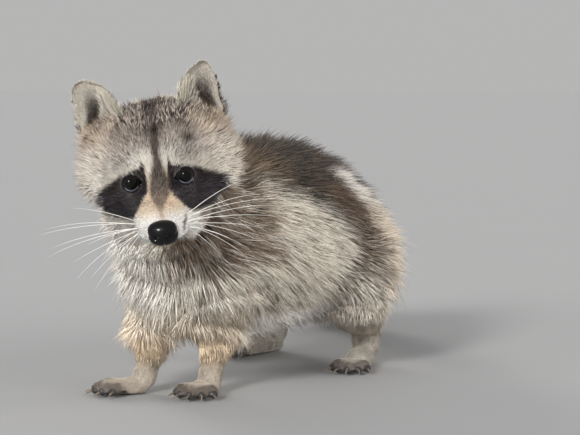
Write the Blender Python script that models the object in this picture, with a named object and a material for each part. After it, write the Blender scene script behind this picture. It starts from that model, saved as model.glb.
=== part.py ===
"""A raccoon standing still, at life size, parted where a person would name its pieces.

The animal faces -Y, its left side is +X and the floor is z = 0. Every length is in metres and every
angle in degrees. The solids follow the outside of the coat. The body is modelled whole, as overlapping
lofts and tubes that a voxel remesh fuses, and is then parted with thin cuts.
"""

import math

import bmesh
import bpy
import numpy as np
from mathutils import Matrix, Vector

# ---------------------------------------------------------------- driving sizes
GAP = 0.0003  # clearance between neighbouring pieces
SIDES = {"left": 1, "right": -1}

BODY_VOXEL = 0.0034
BODY_SMOOTHING = 9
BODY_TRIANGLES = 2300
PAW_VOXEL = 0.0016
PAW_SMOOTHING = 3
PAW_TRIANGLES = 200

# Trunk sections from breast to seat: how far back, half width, height of the widest point, back, belly.
TRUNK = (
    (0.064, 0.040, 0.124, 0.163, 0.092),
    (0.080, 0.060, 0.122, 0.190, 0.068),
    (0.110, 0.070, 0.124, 0.211, 0.055),
    (0.150, 0.075, 0.125, 0.222, 0.048),
    (0.210, 0.081, 0.120, 0.231, 0.042),
    (0.270, 0.087, 0.114, 0.232, 0.040),
    (0.330, 0.088, 0.108, 0.220, 0.046),
    (0.380, 0.083, 0.108, 0.201, 0.058),
    (0.422, 0.066, 0.112, 0.176, 0.072),
    (0.450, 0.038, 0.118, 0.152, 0.090),
)

# The head looks round to its left and down a little, with its right ear lower.
EYES_MIDDLE = Vector((0.035, 0.0, 0.2016))
HEAD_YAW, HEAD_PITCH, HEAD_ROLL = 30.5, 28.0, -9.5
# Head sections from nose to nape, back from the eyes: half width, widest height, top, bottom.
HEAD = (
    (-0.0495, 0.0120, -0.0230, -0.0135, -0.0325),
    (-0.0445, 0.0185, -0.0245, -0.0085, -0.0385),
    (-0.0340, 0.0245, -0.0250, -0.0030, -0.0425),
    (-0.0185, 0.0270, -0.0240, 0.0025, -0.0455),
    (-0.0040, 0.0370, -0.0170, 0.0095, -0.0490),
    (0.0090, 0.0490, -0.0140, 0.0225, -0.0535),
    (0.0240, 0.0640, -0.0150, 0.0355, -0.0570),
    (0.0420, 0.0740, -0.0170, 0.0445, -0.0590),
    (0.0600, 0.0690, -0.0140, 0.0460, -0.0560),
    (0.0760, 0.0500, -0.0070, 0.0390, -0.0450),
)

EYE_SPACING = 0.046
EYE_RADIUS = 0.0083
EYE_SET_FORWARD = 0.0010
EYE_SEGMENTS = 14

NOSE_AT = Vector((0.0, -0.0500, -0.0205))
NOSE_SIZE = Vector((0.0118, 0.0095, 0.0100))
NOSTRIL_AT = Vector((0.0062, -0.0085, -0.0005))
NOSTRIL_SIZE = Vector((0.0026, 0.0045, 0.0021))
NOSE_SEGMENTS = 16
NOSTRIL_SEGMENTS = 8

EAR_ROOT = Vector((0.0420, 0.0400, 0.0230))
EAR_TIP = Vector((0.0525, 0.0480, 0.0785))
EAR_WIDTH = 0.045
EAR_THICKNESS = 0.0072
EAR_CUP = 0.0125
EAR_FACES = 18.0  # the open side of the cup looks this much outwards
EAR_BOW = 0.004
EAR_SIDES = 12
# The share of the full width at each share of the height.
EAR_OUTLINE = ((0.0, 0.94), (0.30, 1.0), (0.62, 0.90), (0.86, 0.62), (1.0, 0.16))

# Tubes are lists of (point, radius).
NECK = (
    ((0.010, 0.046, 0.198), 0.052),
    ((0.000, 0.074, 0.172), 0.062),
    ((-0.002, 0.112, 0.154), 0.065),
    ((0.000, 0.160, 0.140), 0.060),
)
TAIL = (
    ((0.000, 0.405, 0.146), 0.029),
    ((-0.003, 0.440, 0.130), 0.030),
    ((-0.010, 0.470, 0.109), 0.031),
    ((-0.024, 0.510, 0.080), 0.034),
    ((-0.044, 0.550, 0.056), 0.0355),
    ((-0.070, 0.585, 0.042), 0.0350),
    ((-0.100, 0.614, 0.037), 0.0315),
    ((-0.128, 0.634, 0.034), 0.0240),
    ((-0.150, 0.648, 0.032), 0.0120),
)
TAIL_CUTS = (2, 4, 6)  # the tail is parted at these points of its line

BLOCK = (0.20, 0.20, 0.05)  # cuts the feet flat at the floor and at their joints

# Each leg stands on its own place: side, where the wrist or ankle meets the floor, where the foot points.
FORELEGS = {
    "left": {"stands": Vector((0.017, 0.124, 0.0)), "toes_out": 6.0},
    "right": {"stands": Vector((-0.036, 0.100, 0.0)), "toes_out": 40.0},
}
HINDLEGS = {
    "left": {"stands": Vector((0.066, 0.350, 0.0)), "toes_out": 12.0},
    "right": {"stands": Vector((-0.062, 0.392, 0.0)), "toes_out": 14.0},
}
SHOULDER = Vector((0.036, 0.128, 0.150))
SHOULDER_RADIUS = 0.038
HIP = Vector((0.046, 0.366, 0.128))
HIP_RADIUS = 0.045
ELBOW_HEIGHT, WRIST_HEIGHT = 0.0600, 0.0250
KNEE_HEIGHT, ANKLE_HEIGHT = 0.0640, 0.0340

# The ellipsoids that part the legs from the trunk: middle from the axis, half axes.
FORELEG_REGION_AT = {"left": Vector((0.029, 0.118, 0.058)), "right": Vector((0.048, 0.118, 0.058))}
FORELEG_REGION = (0.041, 0.050, 0.082)
HINDLEG_REGION_AT = {"left": Vector((0.070, 0.336, 0.070)), "right": Vector((0.070, 0.378, 0.070))}
HINDLEG_REGION = (0.052, 0.064, 0.084)

# The cuts across the body: point, direction, radius.
HEAD_CUT = ((0.008, 0.064, 0.203), (-0.10, 1.0, -0.36), 0.098)
NECK_CUT = ((0.0, 0.098, 0.180), (0.0, 0.814, -0.581), 0.108)
TAIL_CUT_RADIUS = 0.055

FINGER_SPREAD = (-40.0, -19.0, 0.0, 19.0, 38.0)
FINGER_LENGTHS = (0.0200, 0.0245, 0.0265, 0.0250, 0.0205)
FINGER_RADIUS = 0.0047
TOE_SPREAD = (-37.0, -18.0, 0.0, 18.0, 36.0)
TOE_LENGTHS = (0.0210, 0.0255, 0.0275, 0.0255, 0.0205)
TOE_RADIUS = 0.0047
CLAW_LENGTH = 0.0095
CLAW_RADIUS = 0.0016
CLAW_DROP = 0.0032
CLAW_IN_DIGIT = 0.22  # the share of its length that a claw sits in its digit
CLAW_STEPS = 3
CLAW_SIDES = 6

COLOURS = {
    "coat": ((0.46, 0.42, 0.37), 0.85),
    "dark_skin": ((0.035, 0.032, 0.034), 0.55),
    "eye": ((0.015, 0.010, 0.008), 0.06),
    "nose": ((0.012, 0.012, 0.013), 0.30),
    "claw": ((0.16, 0.12, 0.09), 0.35),
}


# ---------------------------------------------------------------- general tools
def material(name):
    """The Principled material of one finish, made on first use."""
    found = bpy.data.materials.get(name)
    if found:
        return found
    colour, roughness = COLOURS[name]
    made = bpy.data.materials.new(name)
    made.use_nodes = True
    shader = made.node_tree.nodes["Principled BSDF"]
    shader.inputs["Base Color"].default_value = (*colour, 1.0)
    shader.inputs["Roughness"].default_value = roughness
    shader.inputs["Metallic"].default_value = 0.0
    return made


def add_object(name, mesh):
    """A scene object holding the mesh."""
    made = bpy.data.objects.new(name, mesh)
    bpy.context.scene.collection.objects.link(made)
    return made


def discard(*objects):
    """Removes helpers that have done their work."""
    for each in objects:
        bpy.data.objects.remove(each)


def bake_down(thing):
    """Turns an object's modifiers, or a curve, into a plain mesh in world space."""
    bpy.context.view_layer.update()
    graph = bpy.context.evaluated_depsgraph_get()
    mesh = bpy.data.meshes.new_from_object(thing.evaluated_get(graph))
    mesh.transform(thing.matrix_world)
    made = add_object("made", mesh)
    discard(thing)
    return made


def join(things):
    """One object holding all the shells of several, which may overlap."""
    whole = bmesh.new()
    for each in things:
        each.data.transform(each.matrix_world)
        whole.from_mesh(each.data)
    mesh = bpy.data.meshes.new("joined")
    whole.to_mesh(mesh)
    whole.free()
    discard(*things)
    return add_object("joined", mesh)


def copy_of(thing):
    """A second object with a mesh of its own."""
    made = add_object("copy", thing.data.copy())
    made.matrix_world = thing.matrix_world.copy()
    return made


def combine(target, cutter, operation, keep_cutter=False):
    """The Boolean of two solids, as a plain mesh."""
    cut = target.modifiers.new("cut", "BOOLEAN")
    cut.operation = operation
    cut.object = cutter
    made = bake_down(target)
    if not keep_cutter:
        discard(cutter)
    return made


def fuse(things, voxel, smoothing, triangles):
    """Overlapping shells fused into one skin, rounded where they meet, of about so many triangles."""
    whole = join(things)
    remesh = whole.modifiers.new("fuse", "REMESH")
    remesh.mode = "VOXEL"
    remesh.voxel_size = voxel
    ease = whole.modifiers.new("ease", "SMOOTH")
    ease.factor = 0.5
    ease.iterations = smoothing
    whole = bake_down(whole)
    fine = sum(len(face.vertices) - 2 for face in whole.data.polygons)
    thin_out = whole.modifiers.new("thin_out", "DECIMATE")
    thin_out.ratio = min(1.0, triangles / fine)
    return bake_down(whole)


def even_curve(rows, steps):
    """Catmull-Rom rows between the given ones, so that few sizes make a smooth form."""
    rows = np.array(rows, float)
    padded = np.vstack([2 * rows[0] - rows[1], rows, 2 * rows[-1] - rows[-2]])
    made = []
    for index in range(len(rows) - 1):
        before, start, end, after = padded[index : index + 4]
        for t in np.arange(steps) / steps:
            bend = (2 * before - 5 * start + 4 * end - after) * t**2
            twist = (3 * start - before - 3 * end + after) * t**3
            made.append(0.5 * (2 * start + (end - before) * t + bend + twist))
    made.append(rows[-1])
    return made


def loft(rings):
    """A closed solid through rings of points, all with the same count."""
    shell = bmesh.new()
    loops = [[shell.verts.new(point) for point in ring] for ring in rings]
    count = len(loops[0])
    for one, other in zip(loops, loops[1:]):
        for k in range(count):
            shell.faces.new((one[k], one[(k + 1) % count], other[(k + 1) % count], other[k]))
    shell.faces.new(loops[0][::-1])
    shell.faces.new(loops[-1])
    bmesh.ops.recalc_face_normals(shell, faces=shell.faces)
    mesh = bpy.data.meshes.new("loft")
    shell.to_mesh(mesh)
    shell.free()
    return add_object("loft", mesh)


def section_loft(sections, matrix=Matrix.Identity(4), sides=32, steps=4):
    """A solid along Y through (y, half width, widest height, top, bottom) sections."""
    rings = []
    for y, half, widest, top, bottom in even_curve(sections, steps):
        ring = []
        for angle in np.arange(sides) * (2 * math.pi / sides):
            rise = math.sin(angle)
            reach = top - widest if rise > 0 else widest - bottom
            ring.append(matrix @ Vector((half * math.cos(angle), y, widest + reach * rise)))
        rings.append(ring)
    return loft(rings)


def tube(points, steps=4):
    """A round solid along a smooth line of (point, radius)."""
    data = bpy.data.curves.new("tube", "CURVE")
    data.dimensions = "3D"
    data.bevel_depth = 1.0
    data.bevel_resolution = 4
    data.use_fill_caps = True
    rows = even_curve([(*point, radius) for point, radius in points], steps)
    line = data.splines.new("POLY")
    line.points.add(len(rows) - 1)
    for place, (x, y, z, radius) in zip(line.points, rows):
        place.co = (x, y, z, 1.0)
        place.radius = radius
    return bake_down(add_object("tube", data))


def ball(centre, size, matrix=Matrix.Identity(4), segments=16):
    """An ellipsoid; size is its three half axes."""
    shell = bmesh.new()
    bmesh.ops.create_uvsphere(shell, u_segments=segments, v_segments=segments // 2, radius=1.0)
    mesh = bpy.data.meshes.new("ball")
    shell.to_mesh(mesh)
    shell.free()
    mesh.transform(matrix @ Matrix.Translation(centre) @ Matrix.Diagonal((*size, 1.0)))
    return add_object("ball", mesh)


def disc(centre, normal, radius):
    """A thin round slab, as thick as the gap, that parts whatever it crosses."""
    shell = bmesh.new()
    turn = Vector(normal).to_track_quat("Z", "Y").to_matrix().to_4x4()
    place = Matrix.Translation(centre) @ turn
    bmesh.ops.create_cone(
        shell, cap_ends=True, segments=32, radius1=radius, radius2=radius, depth=GAP, matrix=place
    )
    mesh = bpy.data.meshes.new("disc")
    shell.to_mesh(mesh)
    shell.free()
    return add_object("disc", mesh)


def islands(thing):
    """The separate closed shells of an object, each as an object."""
    shell = bmesh.new()
    shell.from_mesh(thing.data)
    waiting = set(shell.verts)
    groups = []
    while waiting:
        group, edge = set(), [waiting.pop()]
        while edge:
            vertex = edge.pop()
            group.add(vertex)
            near = [link.other_vert(vertex) for link in vertex.link_edges]
            edge += [v for v in near if v in waiting]
            waiting.difference_update(near)
        groups.append(group)
    made = []
    for group in groups:
        part = shell.copy()
        kept = {vertex.index for vertex in group}
        bmesh.ops.delete(part, geom=[v for v in part.verts if v.index not in kept], context="VERTS")
        mesh = bpy.data.meshes.new("island")
        part.to_mesh(mesh)
        part.free()
        made.append(add_object("island", mesh))
    shell.free()
    discard(thing)
    return made


def middle(thing):
    """The middle of an object's bounding box."""
    corners = np.array([vertex.co[:] for vertex in thing.data.vertices])
    return Vector((corners.min(0) + corners.max(0)) / 2)


def part_at(thing, discs, seeds):
    """Cuts the object at the discs and gives {name: piece}, each piece named by the nearest seed."""
    pieces = islands(combine(thing, join(discs), "DIFFERENCE"))
    named = {}
    for name, seed in seeds.items():
        nearest = min(pieces, key=lambda piece: (middle(piece) - Vector(seed)).length)
        named[name] = nearest
        pieces.remove(nearest)
    discard(*pieces)
    return named


def finish(name, thing, finish_name, smooth_under=50.0):
    """Names a finished piece and gives it its material and shading."""
    thing.name = name
    thing.data.name = name
    thing.data.materials.clear()
    thing.data.materials.append(material(finish_name))
    thing.data.shade_smooth()
    thing.data.set_sharp_from_angle(angle=math.radians(smooth_under))
    return thing


def turn(axis, degrees):
    """A rotation matrix about one axis."""
    return Matrix.Rotation(math.radians(degrees), 4, axis)


HEAD_MATRIX = (
    Matrix.Translation(EYES_MIDDLE)
    @ turn("Z", HEAD_YAW)
    @ turn("X", HEAD_PITCH)
    @ turn("Y", HEAD_ROLL)
)


# ---------------------------------------------------------------- legs and feet
def mirrored(point, side):
    """A left-hand point, on the side asked for."""
    return Vector((point.x * SIDES[side], point.y, point.z))


def foreleg_line(side):
    """The foreleg from shoulder to just below the wrist."""
    foot = FORELEGS[side]["stands"]
    top = mirrored(SHOULDER, side)
    upper = top.lerp(foot, 0.35) + Vector((0.002 * SIDES[side], 0.008, 0.0))
    return (
        (top, SHOULDER_RADIUS),
        (Vector((upper.x, upper.y, 0.096)), 0.034),
        (foot + Vector((0.002 * SIDES[side], 0.010, 0.064)), 0.0265),
        (foot + Vector((0.0, 0.005, 0.042)), 0.0170),
        (foot + Vector((0.0, 0.001, 0.028)), 0.0118),
        (foot + Vector((0.0, -0.001, 0.012)), 0.0110),
    )


def hindleg_line(side):
    """The hind leg from hip over the knee, which stands forward, to just below the ankle."""
    foot = HINDLEGS[side]["stands"]
    way = SIDES[side]
    return (
        (mirrored(HIP, side), HIP_RADIUS),
        (foot + Vector((0.004 * way, -0.026, 0.098)), 0.044),
        (foot + Vector((0.008 * way, -0.042, 0.074)), 0.037),
        (foot + Vector((0.006 * way, -0.022, 0.056)), 0.0270),
        (foot + Vector((0.0, 0.002, 0.038)), 0.0175),
        (foot + Vector((0.0, 0.004, 0.016)), 0.0140),
    )


def digit_lines(root, spread, lengths, root_reach):
    """Each digit as (root, knuckle, tip, direction), fanned out in front of the root."""
    lines = []
    for angle, length in zip(spread, lengths):
        way = turn("Z", angle) @ Vector((0.0, -1.0, 0.0))
        start = root + way * root_reach
        knuckle = start + way * length * 0.55 + Vector((0.0, 0.0, 0.0020))
        tip = start + way * length
        tip.z = 0.0043
        lines.append((start, knuckle, tip, way))
    return lines


def claw_rings(tip, way, grow=0.0):
    """A claw that curves forward and down from a digit's tip; grow makes the pocket it sits in."""
    rings = []
    across = Vector((0.0, 0.0, 1.0)).cross(way).normalized()
    for step in range(CLAW_STEPS + 1):
        t = step / CLAW_STEPS
        bend = math.radians(18 + 52 * t)
        ahead = CLAW_LENGTH * (t - CLAW_IN_DIGIT)
        drop = CLAW_DROP * t * t
        centre = tip + way * ahead + Vector((0.0, 0.0, 0.0010 - drop))
        thick = CLAW_RADIUS * (1.0 - 0.80 * t**1.4) + grow
        normal = (way * math.cos(bend) - Vector((0.0, 0.0, 1.0)) * math.sin(bend)).normalized()
        rise = normal.cross(across)
        ring = []
        for k in range(CLAW_SIDES):
            angle = 2 * math.pi * k / CLAW_SIDES
            ring.append(centre + across * 0.8 * thick * math.cos(angle) + rise * thick * math.sin(angle))
        rings.append(ring)
    return rings


def make_foot(name, stands, toes_out, side, shells, lines, radius, joint_height):
    """A foot cut flat at the floor and at its joint, with its claws: {node: piece}."""
    place = Matrix.Translation(stands) @ turn("Z", toes_out * SIDES[side])
    for start, knuckle, tip, _ in lines:
        shells.append(tube([(start, radius * 1.1), (knuckle, radius), (tip, radius * 0.82)]))
    for shell in shells:
        shell.data.transform(place)
    foot = fuse(shells, PAW_VOXEL, PAW_SMOOTHING, PAW_TRIANGLES)
    for height in (-BLOCK[2] / 2, joint_height + BLOCK[2] / 2):
        block = box_at(stands + Vector((0.0, 0.0, height)), BLOCK)
        foot = combine(foot, block, "DIFFERENCE")
    made = {}
    for number, (_, _, tip, way) in enumerate(lines, 1):
        at, along = place @ tip, place.to_3x3() @ way
        foot = combine(foot, loft(claw_rings(at, along, GAP)), "DIFFERENCE")
        made[f"claw_{name}_{number}"] = finish(f"claw_{name}_{number}", loft(claw_rings(at, along)), "claw")
    made[name] = finish(name, foot, "dark_skin")
    return made


def box_at(centre, size):
    """A plain block, used to cut flats."""
    shell = bmesh.new()
    place = Matrix.Translation(centre) @ Matrix.Diagonal((*size, 1.0))
    bmesh.ops.create_cube(shell, size=1.0, matrix=place)
    mesh = bpy.data.meshes.new("block")
    shell.to_mesh(mesh)
    shell.free()
    return add_object("block", mesh)


def make_forefoot(side):
    """The hand-like forefoot: wrist, palm and five long fingers."""
    palm = Vector((0.0, -0.016, 0.0070))
    lines = digit_lines(palm, FINGER_SPREAD, FINGER_LENGTHS, 0.0110)
    wrist = [
        (Vector((0.0, 0.001, 0.040)), 0.0130),
        (Vector((0.0, -0.001, 0.025)), 0.0112),
        (Vector((0.0, -0.005, 0.010)), 0.0105),
    ]
    shells = [tube(wrist), ball(palm, (0.0140, 0.0175, 0.0082))]
    leg = FORELEGS[side]
    name = f"forefoot_{side}"
    return make_foot(name, leg["stands"], leg["toes_out"], side, shells, lines, FINGER_RADIUS, WRIST_HEIGHT)


def make_hindfoot(side):
    """The long hind foot, set down from heel to toes."""
    pad = Vector((0.0, -0.042, 0.0070))
    lines = digit_lines(pad, TOE_SPREAD, TOE_LENGTHS, 0.0100)
    ankle = [
        (Vector((0.0, 0.004, 0.050)), 0.0175),
        (Vector((0.0, 0.004, 0.034)), 0.0160),
        (Vector((0.0, 0.003, 0.014)), 0.0135),
    ]
    sole = [
        (Vector((0.0, 0.010, 0.0085)), 0.0095),
        (Vector((0.0, -0.012, 0.0090)), 0.0125),
        (Vector((0.0, -0.040, 0.0080)), 0.0125),
    ]
    shells = [tube(ankle), tube(sole), ball(pad, (0.0135, 0.0140, 0.0082))]
    leg = HINDLEGS[side]
    name = f"hindfoot_{side}"
    return make_foot(name, leg["stands"], leg["toes_out"], side, shells, lines, TOE_RADIUS, ANKLE_HEIGHT)


# ---------------------------------------------------------------- body
def make_flesh():
    """Trunk, neck, head, legs and tail as one skin."""
    shells = [section_loft(TRUNK), section_loft(HEAD, HEAD_MATRIX), tube(NECK), tube(TAIL)]
    for side in SIDES:
        shells += [tube(foreleg_line(side)), tube(hindleg_line(side))]
    return fuse(shells, BODY_VOXEL, BODY_SMOOTHING, BODY_TRIANGLES)


def take_off(whole, region_size, region_at):
    """Parts an ellipsoidal region from the whole: (what is left, what came off)."""
    grown = [half + GAP for half in region_size]
    off = combine(copy_of(whole), ball(region_at, region_size), "INTERSECT")
    left = combine(whole, ball(region_at, grown), "DIFFERENCE")
    return left, off


def part_forelegs(whole):
    """Takes both forelegs off and parts each at the elbow: (what is left, {node: piece})."""
    made = {}
    for side in SIDES:
        foot = FORELEGS[side]["stands"]
        at = mirrored(FORELEG_REGION_AT[side], side)
        whole, leg = take_off(whole, FORELEG_REGION, at)
        elbow = disc(foot + Vector((0.0, 0.0, ELBOW_HEIGHT)), (0.0, 0.25, 1.0), 0.06)
        wrist = disc(foot + Vector((0.0, 0.0, WRIST_HEIGHT + GAP / 2)), (0.0, 0.0, 1.0), 0.04)
        seeds = {
            f"upper_foreleg_{side}": Vector((at.x, at.y, 0.100)),
            f"forearm_{side}": foot + Vector((0.0, 0.0, (ELBOW_HEIGHT + WRIST_HEIGHT) / 2)),
        }
        made.update(part_at(leg, [elbow, wrist], seeds))
    return whole, made


def part_hindlegs(whole):
    """Takes both hind legs off and parts each below the knee: (what is left, {node: piece})."""
    made = {}
    for side in SIDES:
        foot = HINDLEGS[side]["stands"]
        at = mirrored(HINDLEG_REGION_AT[side], side)
        whole, leg = take_off(whole, HINDLEG_REGION, at)
        knee = disc(foot + Vector((0.0, -0.020, KNEE_HEIGHT)), (0.0, 0.45, 1.0), 0.075)
        ankle = disc(foot + Vector((0.0, 0.0, ANKLE_HEIGHT + GAP / 2)), (0.0, 0.0, 1.0), 0.05)
        seeds = {
            f"thigh_{side}": Vector((at.x, at.y, 0.105)),
            f"shank_{side}": foot + Vector((0.0, -0.028, 0.062)),
        }
        made.update(part_at(leg, [knee, ankle], seeds))
    return whole, made


def part_body(whole):
    """Parts head, neck, trunk and the lengths of the tail."""
    line = [Vector(point) for point, _ in TAIL]
    cuts = [disc(*HEAD_CUT), disc(*NECK_CUT)]
    for index in TAIL_CUTS:
        along = line[index + 1] - line[index - 1]
        cuts.append(disc(line[index], along, TAIL_CUT_RADIUS))
    names = ("tail_root", "tail_middle", "tail_tip")
    ends = (*TAIL_CUTS, len(line) - 1)
    seeds = {
        "trunk": (0.0, 0.27, 0.14),
        "head": HEAD_MATRIX @ Vector((0.0, 0.010, -0.005)),
        "neck": (0.003, 0.088, 0.180),
    }
    for name, start, end in zip(names, ends, ends[1:]):
        seeds[name] = (line[start] + line[end]) / 2
    return part_at(whole, cuts, seeds)


# ---------------------------------------------------------------- head pieces
def ear_solid(side):
    """A cupped ear: rings that bend backwards, from inside the head to the tip."""
    way = SIDES[side]
    root, tip = mirrored(EAR_ROOT, side), mirrored(EAR_TIP, side)
    up = (tip - root).normalized()
    facing = turn("Z", EAR_FACES * way) @ Vector((0.0, -1.0, 0.0))
    across = up.cross(facing).normalized()
    facing = across.cross(up)
    rings = []
    for t, share in even_curve(EAR_OUTLINE, 2):
        half = EAR_WIDTH * share / 2
        cup = EAR_CUP * (1.0 - 0.55 * t)
        half_thick = EAR_THICKNESS / 2 * (1.0 - 0.45 * t**3)
        centre = root.lerp(tip, t) - facing * EAR_BOW * math.sin(math.pi * t)
        ring = []
        for k in range(EAR_SIDES):
            angle = 2 * math.pi * k / EAR_SIDES
            side_step = math.cos(angle)
            back = cup * (1.0 - side_step**2) - half_thick * math.sin(angle)
            ring.append(HEAD_MATRIX @ (centre + across * half * side_step - facing * back))
        rings.append(ring)
    return loft(rings)


def seat_pieces(pieces):
    """Seats the eyes, nose and ears in the head and on it."""
    for side, way in SIDES.items():
        at = HEAD_MATRIX @ Vector((way * EYE_SPACING / 2, -EYE_SET_FORWARD, 0.0))
        socket = ball(at, (EYE_RADIUS + GAP,) * 3, segments=EYE_SEGMENTS)
        pieces["head"] = combine(pieces["head"], socket, "DIFFERENCE")
        eyeball = ball(at, (EYE_RADIUS,) * 3, segments=EYE_SEGMENTS)
        pieces[f"eye_{side}"] = finish(f"eye_{side}", eyeball, "eye")
    nose_place = HEAD_MATRIX @ Matrix.Translation(NOSE_AT)
    socket = ball((0, 0, 0), [half + GAP for half in NOSE_SIZE], nose_place, segments=NOSE_SEGMENTS)
    pieces["head"] = combine(pieces["head"], socket, "DIFFERENCE")
    nose = ball((0, 0, 0), NOSE_SIZE, nose_place, segments=NOSE_SEGMENTS)
    for side in SIDES:
        nostril = ball(mirrored(NOSTRIL_AT, side), NOSTRIL_SIZE, nose_place, segments=NOSTRIL_SEGMENTS)
        nose = combine(nose, nostril, "DIFFERENCE")
    pieces["nose"] = nose
    cleared = copy_of(pieces["head"])
    swell = cleared.modifiers.new("swell", "DISPLACE")
    swell.strength = 1.5 * GAP
    swell.mid_level = 0.0
    cleared = bake_down(cleared)
    for side in SIDES:
        ear = combine(ear_solid(side), cleared, "DIFFERENCE", keep_cutter=True)
        shells = islands(ear)
        shells.sort(key=lambda shell: len(shell.data.vertices))
        pieces[f"ear_{side}"] = shells.pop()
        discard(*shells)
    discard(cleared)
    return pieces


def stand_on_floor(pieces):
    """Puts the origin under the middle of the animal, at the floor."""
    corners = np.array([vertex.co[:] for piece in pieces for vertex in piece.data.vertices])
    low, high = corners.min(0), corners.max(0)
    stand = bpy.data.objects.new("raccoon", None)
    bpy.context.scene.collection.objects.link(stand)
    stand.location = (-(low[0] + high[0]) / 2, -(low[1] + high[1]) / 2, -low[2])
    for piece in pieces:
        piece.parent = stand


def main():
    for old in list(bpy.data.objects):
        bpy.data.objects.remove(old)
    whole, forelegs = part_forelegs(make_flesh())
    whole, hindlegs = part_hindlegs(whole)
    pieces = seat_pieces(part_body(whole))
    pieces.update(forelegs)
    pieces.update(hindlegs)
    for name, piece in pieces.items():
        finish_name = {"nose": "nose", "eye_left": "eye", "eye_right": "eye"}.get(name, "coat")
        finish(name, piece, finish_name)
    for side in SIDES:
        pieces.update(make_forefoot(side))
        pieces.update(make_hindfoot(side))
    stand_on_floor(pieces.values())


main()
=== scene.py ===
import math
from collections import namedtuple

import bmesh
import bpy
import numpy as np
from mathutils import Matrix, Vector
from mathutils.bvhtree import BVHTree


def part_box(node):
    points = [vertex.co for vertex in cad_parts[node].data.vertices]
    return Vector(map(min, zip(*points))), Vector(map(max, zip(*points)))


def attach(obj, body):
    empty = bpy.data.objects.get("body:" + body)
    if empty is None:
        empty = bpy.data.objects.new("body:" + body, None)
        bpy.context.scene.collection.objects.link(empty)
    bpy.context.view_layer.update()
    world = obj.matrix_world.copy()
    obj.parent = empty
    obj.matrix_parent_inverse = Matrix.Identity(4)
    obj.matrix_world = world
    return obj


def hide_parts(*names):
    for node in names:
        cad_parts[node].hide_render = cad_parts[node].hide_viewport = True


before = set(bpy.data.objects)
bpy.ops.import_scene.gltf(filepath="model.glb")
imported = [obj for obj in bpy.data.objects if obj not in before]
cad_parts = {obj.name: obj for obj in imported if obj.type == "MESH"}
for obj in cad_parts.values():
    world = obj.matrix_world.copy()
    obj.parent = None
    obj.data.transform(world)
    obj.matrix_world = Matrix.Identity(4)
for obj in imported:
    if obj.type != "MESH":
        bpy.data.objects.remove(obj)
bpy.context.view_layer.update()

# A raccoon in full coat. One skin lies inside the solids by the coat's depth, and the coat grows out of it
# as closed tufts. Lengths are in metres and angles in degrees, unless a name says otherwise.

# ---------------------------------------------------------------- driving sizes
SIDES = {"left": 1, "right": -1}
MM = 0.001

SKIN_VOXEL = 0.0016
SKIN_KEPT = 0.50  # of the faces, once the hidden ones are thinned out
SKIN_SWELL = 0.0005  # closes the thin cuts between the solids
BODY_SMOOTHING, HEAD_SMOOTHING, FINE_SMOOTHING = 20, 9, 2

EYE_RADIUS = 0.0083
EYE_OPEN_WIDE = 0.0075  # half of the opening between the lids
EYE_OPEN_HIGH = 0.0072
LID_THICKNESS = 0.0006
SIGHT_RISE = 5.5  # how far the iris sits above the middle of the lids' opening
GAZE = {"left": (0.17, -0.89, 0.41), "right": (0.06, -0.89, 0.41)}  # on the head's own axes
NOSE_FILL = 0.0108  # radius of the balls that close the nose's socket
DIGIT_REACH = 0.0405  # from the palm's middle to a claw's
DIGIT_SHAPE = (  # share of the way to the claw, height and radius: root, knuckle, middle joint, tip
    (0.24, 0.0072, 0.0046),
    (0.44, 0.0084, 0.0043),
    (0.62, 0.0072, 0.0037),
    (0.80, 0.0062, 0.0040),
    (0.88, 0.0052, 0.0035),
)
NOSE_FALL = math.atan2(0.0205, 0.0490)  # how far below the eyes' level the nose lies, as an angle

# Each region of the skin: coat depth, tuft length and tuft width in millimetres, and tufts on a square
# centimetre. A tuft leans as far out as takes its tip to the coat's depth.
REGIONS = {
    "head": (6.0, 12.0, 0.62, 115),
    "ear": (1.0, 5.0, 0.50, 120),
    "neck": (14.0, 26.0, 0.92, 52),
    "trunk": (16.0, 32.0, 1.00, 46),
    "upper_foreleg": (10.0, 22.0, 0.88, 54),
    "forearm": (4.5, 12.0, 0.70, 80),
    "forefoot": (0.8, 4.0, 0.44, 125),
    "thigh": (13.0, 28.0, 1.00, 44),
    "shank": (6.5, 15.0, 0.85, 60),
    "hindfoot": (1.0, 4.5, 0.48, 110),
    "tail": (16.0, 32.0, 1.10, 42),
}
HAIR_WAYS = {  # which way the hair lies, in the row frame
    "neck": (0.0, 0.80, -0.80),
    "trunk": (0.0, 1.0, -0.62),
    "upper_foreleg": (0.0, 0.50, -0.95),
    "forearm": (0.0, 0.22, -1.0),
    "thigh": (0.0, 0.80, -0.75),
    "shank": (0.0, 0.30, -1.0),
    "forefoot": (0.0, -1.0, -0.25),
    "hindfoot": (0.0, -1.0, -0.25),
}
PIECE_TRIANGLES = 190000
ROOT_DEPTH = 0.25 * MM  # of a tuft's root under the skin
HAIR_HEIGHT, SPARE_HEIGHT = 1.35, 1.2 * MM  # a tip stays under this share of the coat's depth, and this more
LENGTH_SPREAD, WIDTH_SPREAD, LIFT_SPREAD = 0.16, 0.12, 4.5  # from hair to hair
CURL = 12, 14  # degrees by which a hair starts above its lift and ends below it
HAIR_PROFILE = (0.0, 0.35, 0.75, 1.0), (0.75, 1.0, 0.72, 0.0)  # shares of the length, and of the width there
HAIR_RIDGE = 0.38  # the height of a tuft's ridge, as a share of its width
LOCK_PULLS = (2.6, 0.20), (1.0, 0.42)  # large and small locks: their size, and how far hairs lean into them
PATCH = 0.003  # the size of a tuft's patch of the map
FLOOR_GAP = 0.0005  # under the lowest hair
FULL_WIDTH, LAID_FLAT = 0.140, 0.45  # past this far from the middle, hair loses this share of its reach
RANDOM_SEED, LOCK_SEED = 20, 40
COAT_EVENING, WAY_EVENING, PARTS_EVENING = 14, 24, 8  # rounds, where one region passes into the next
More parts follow.
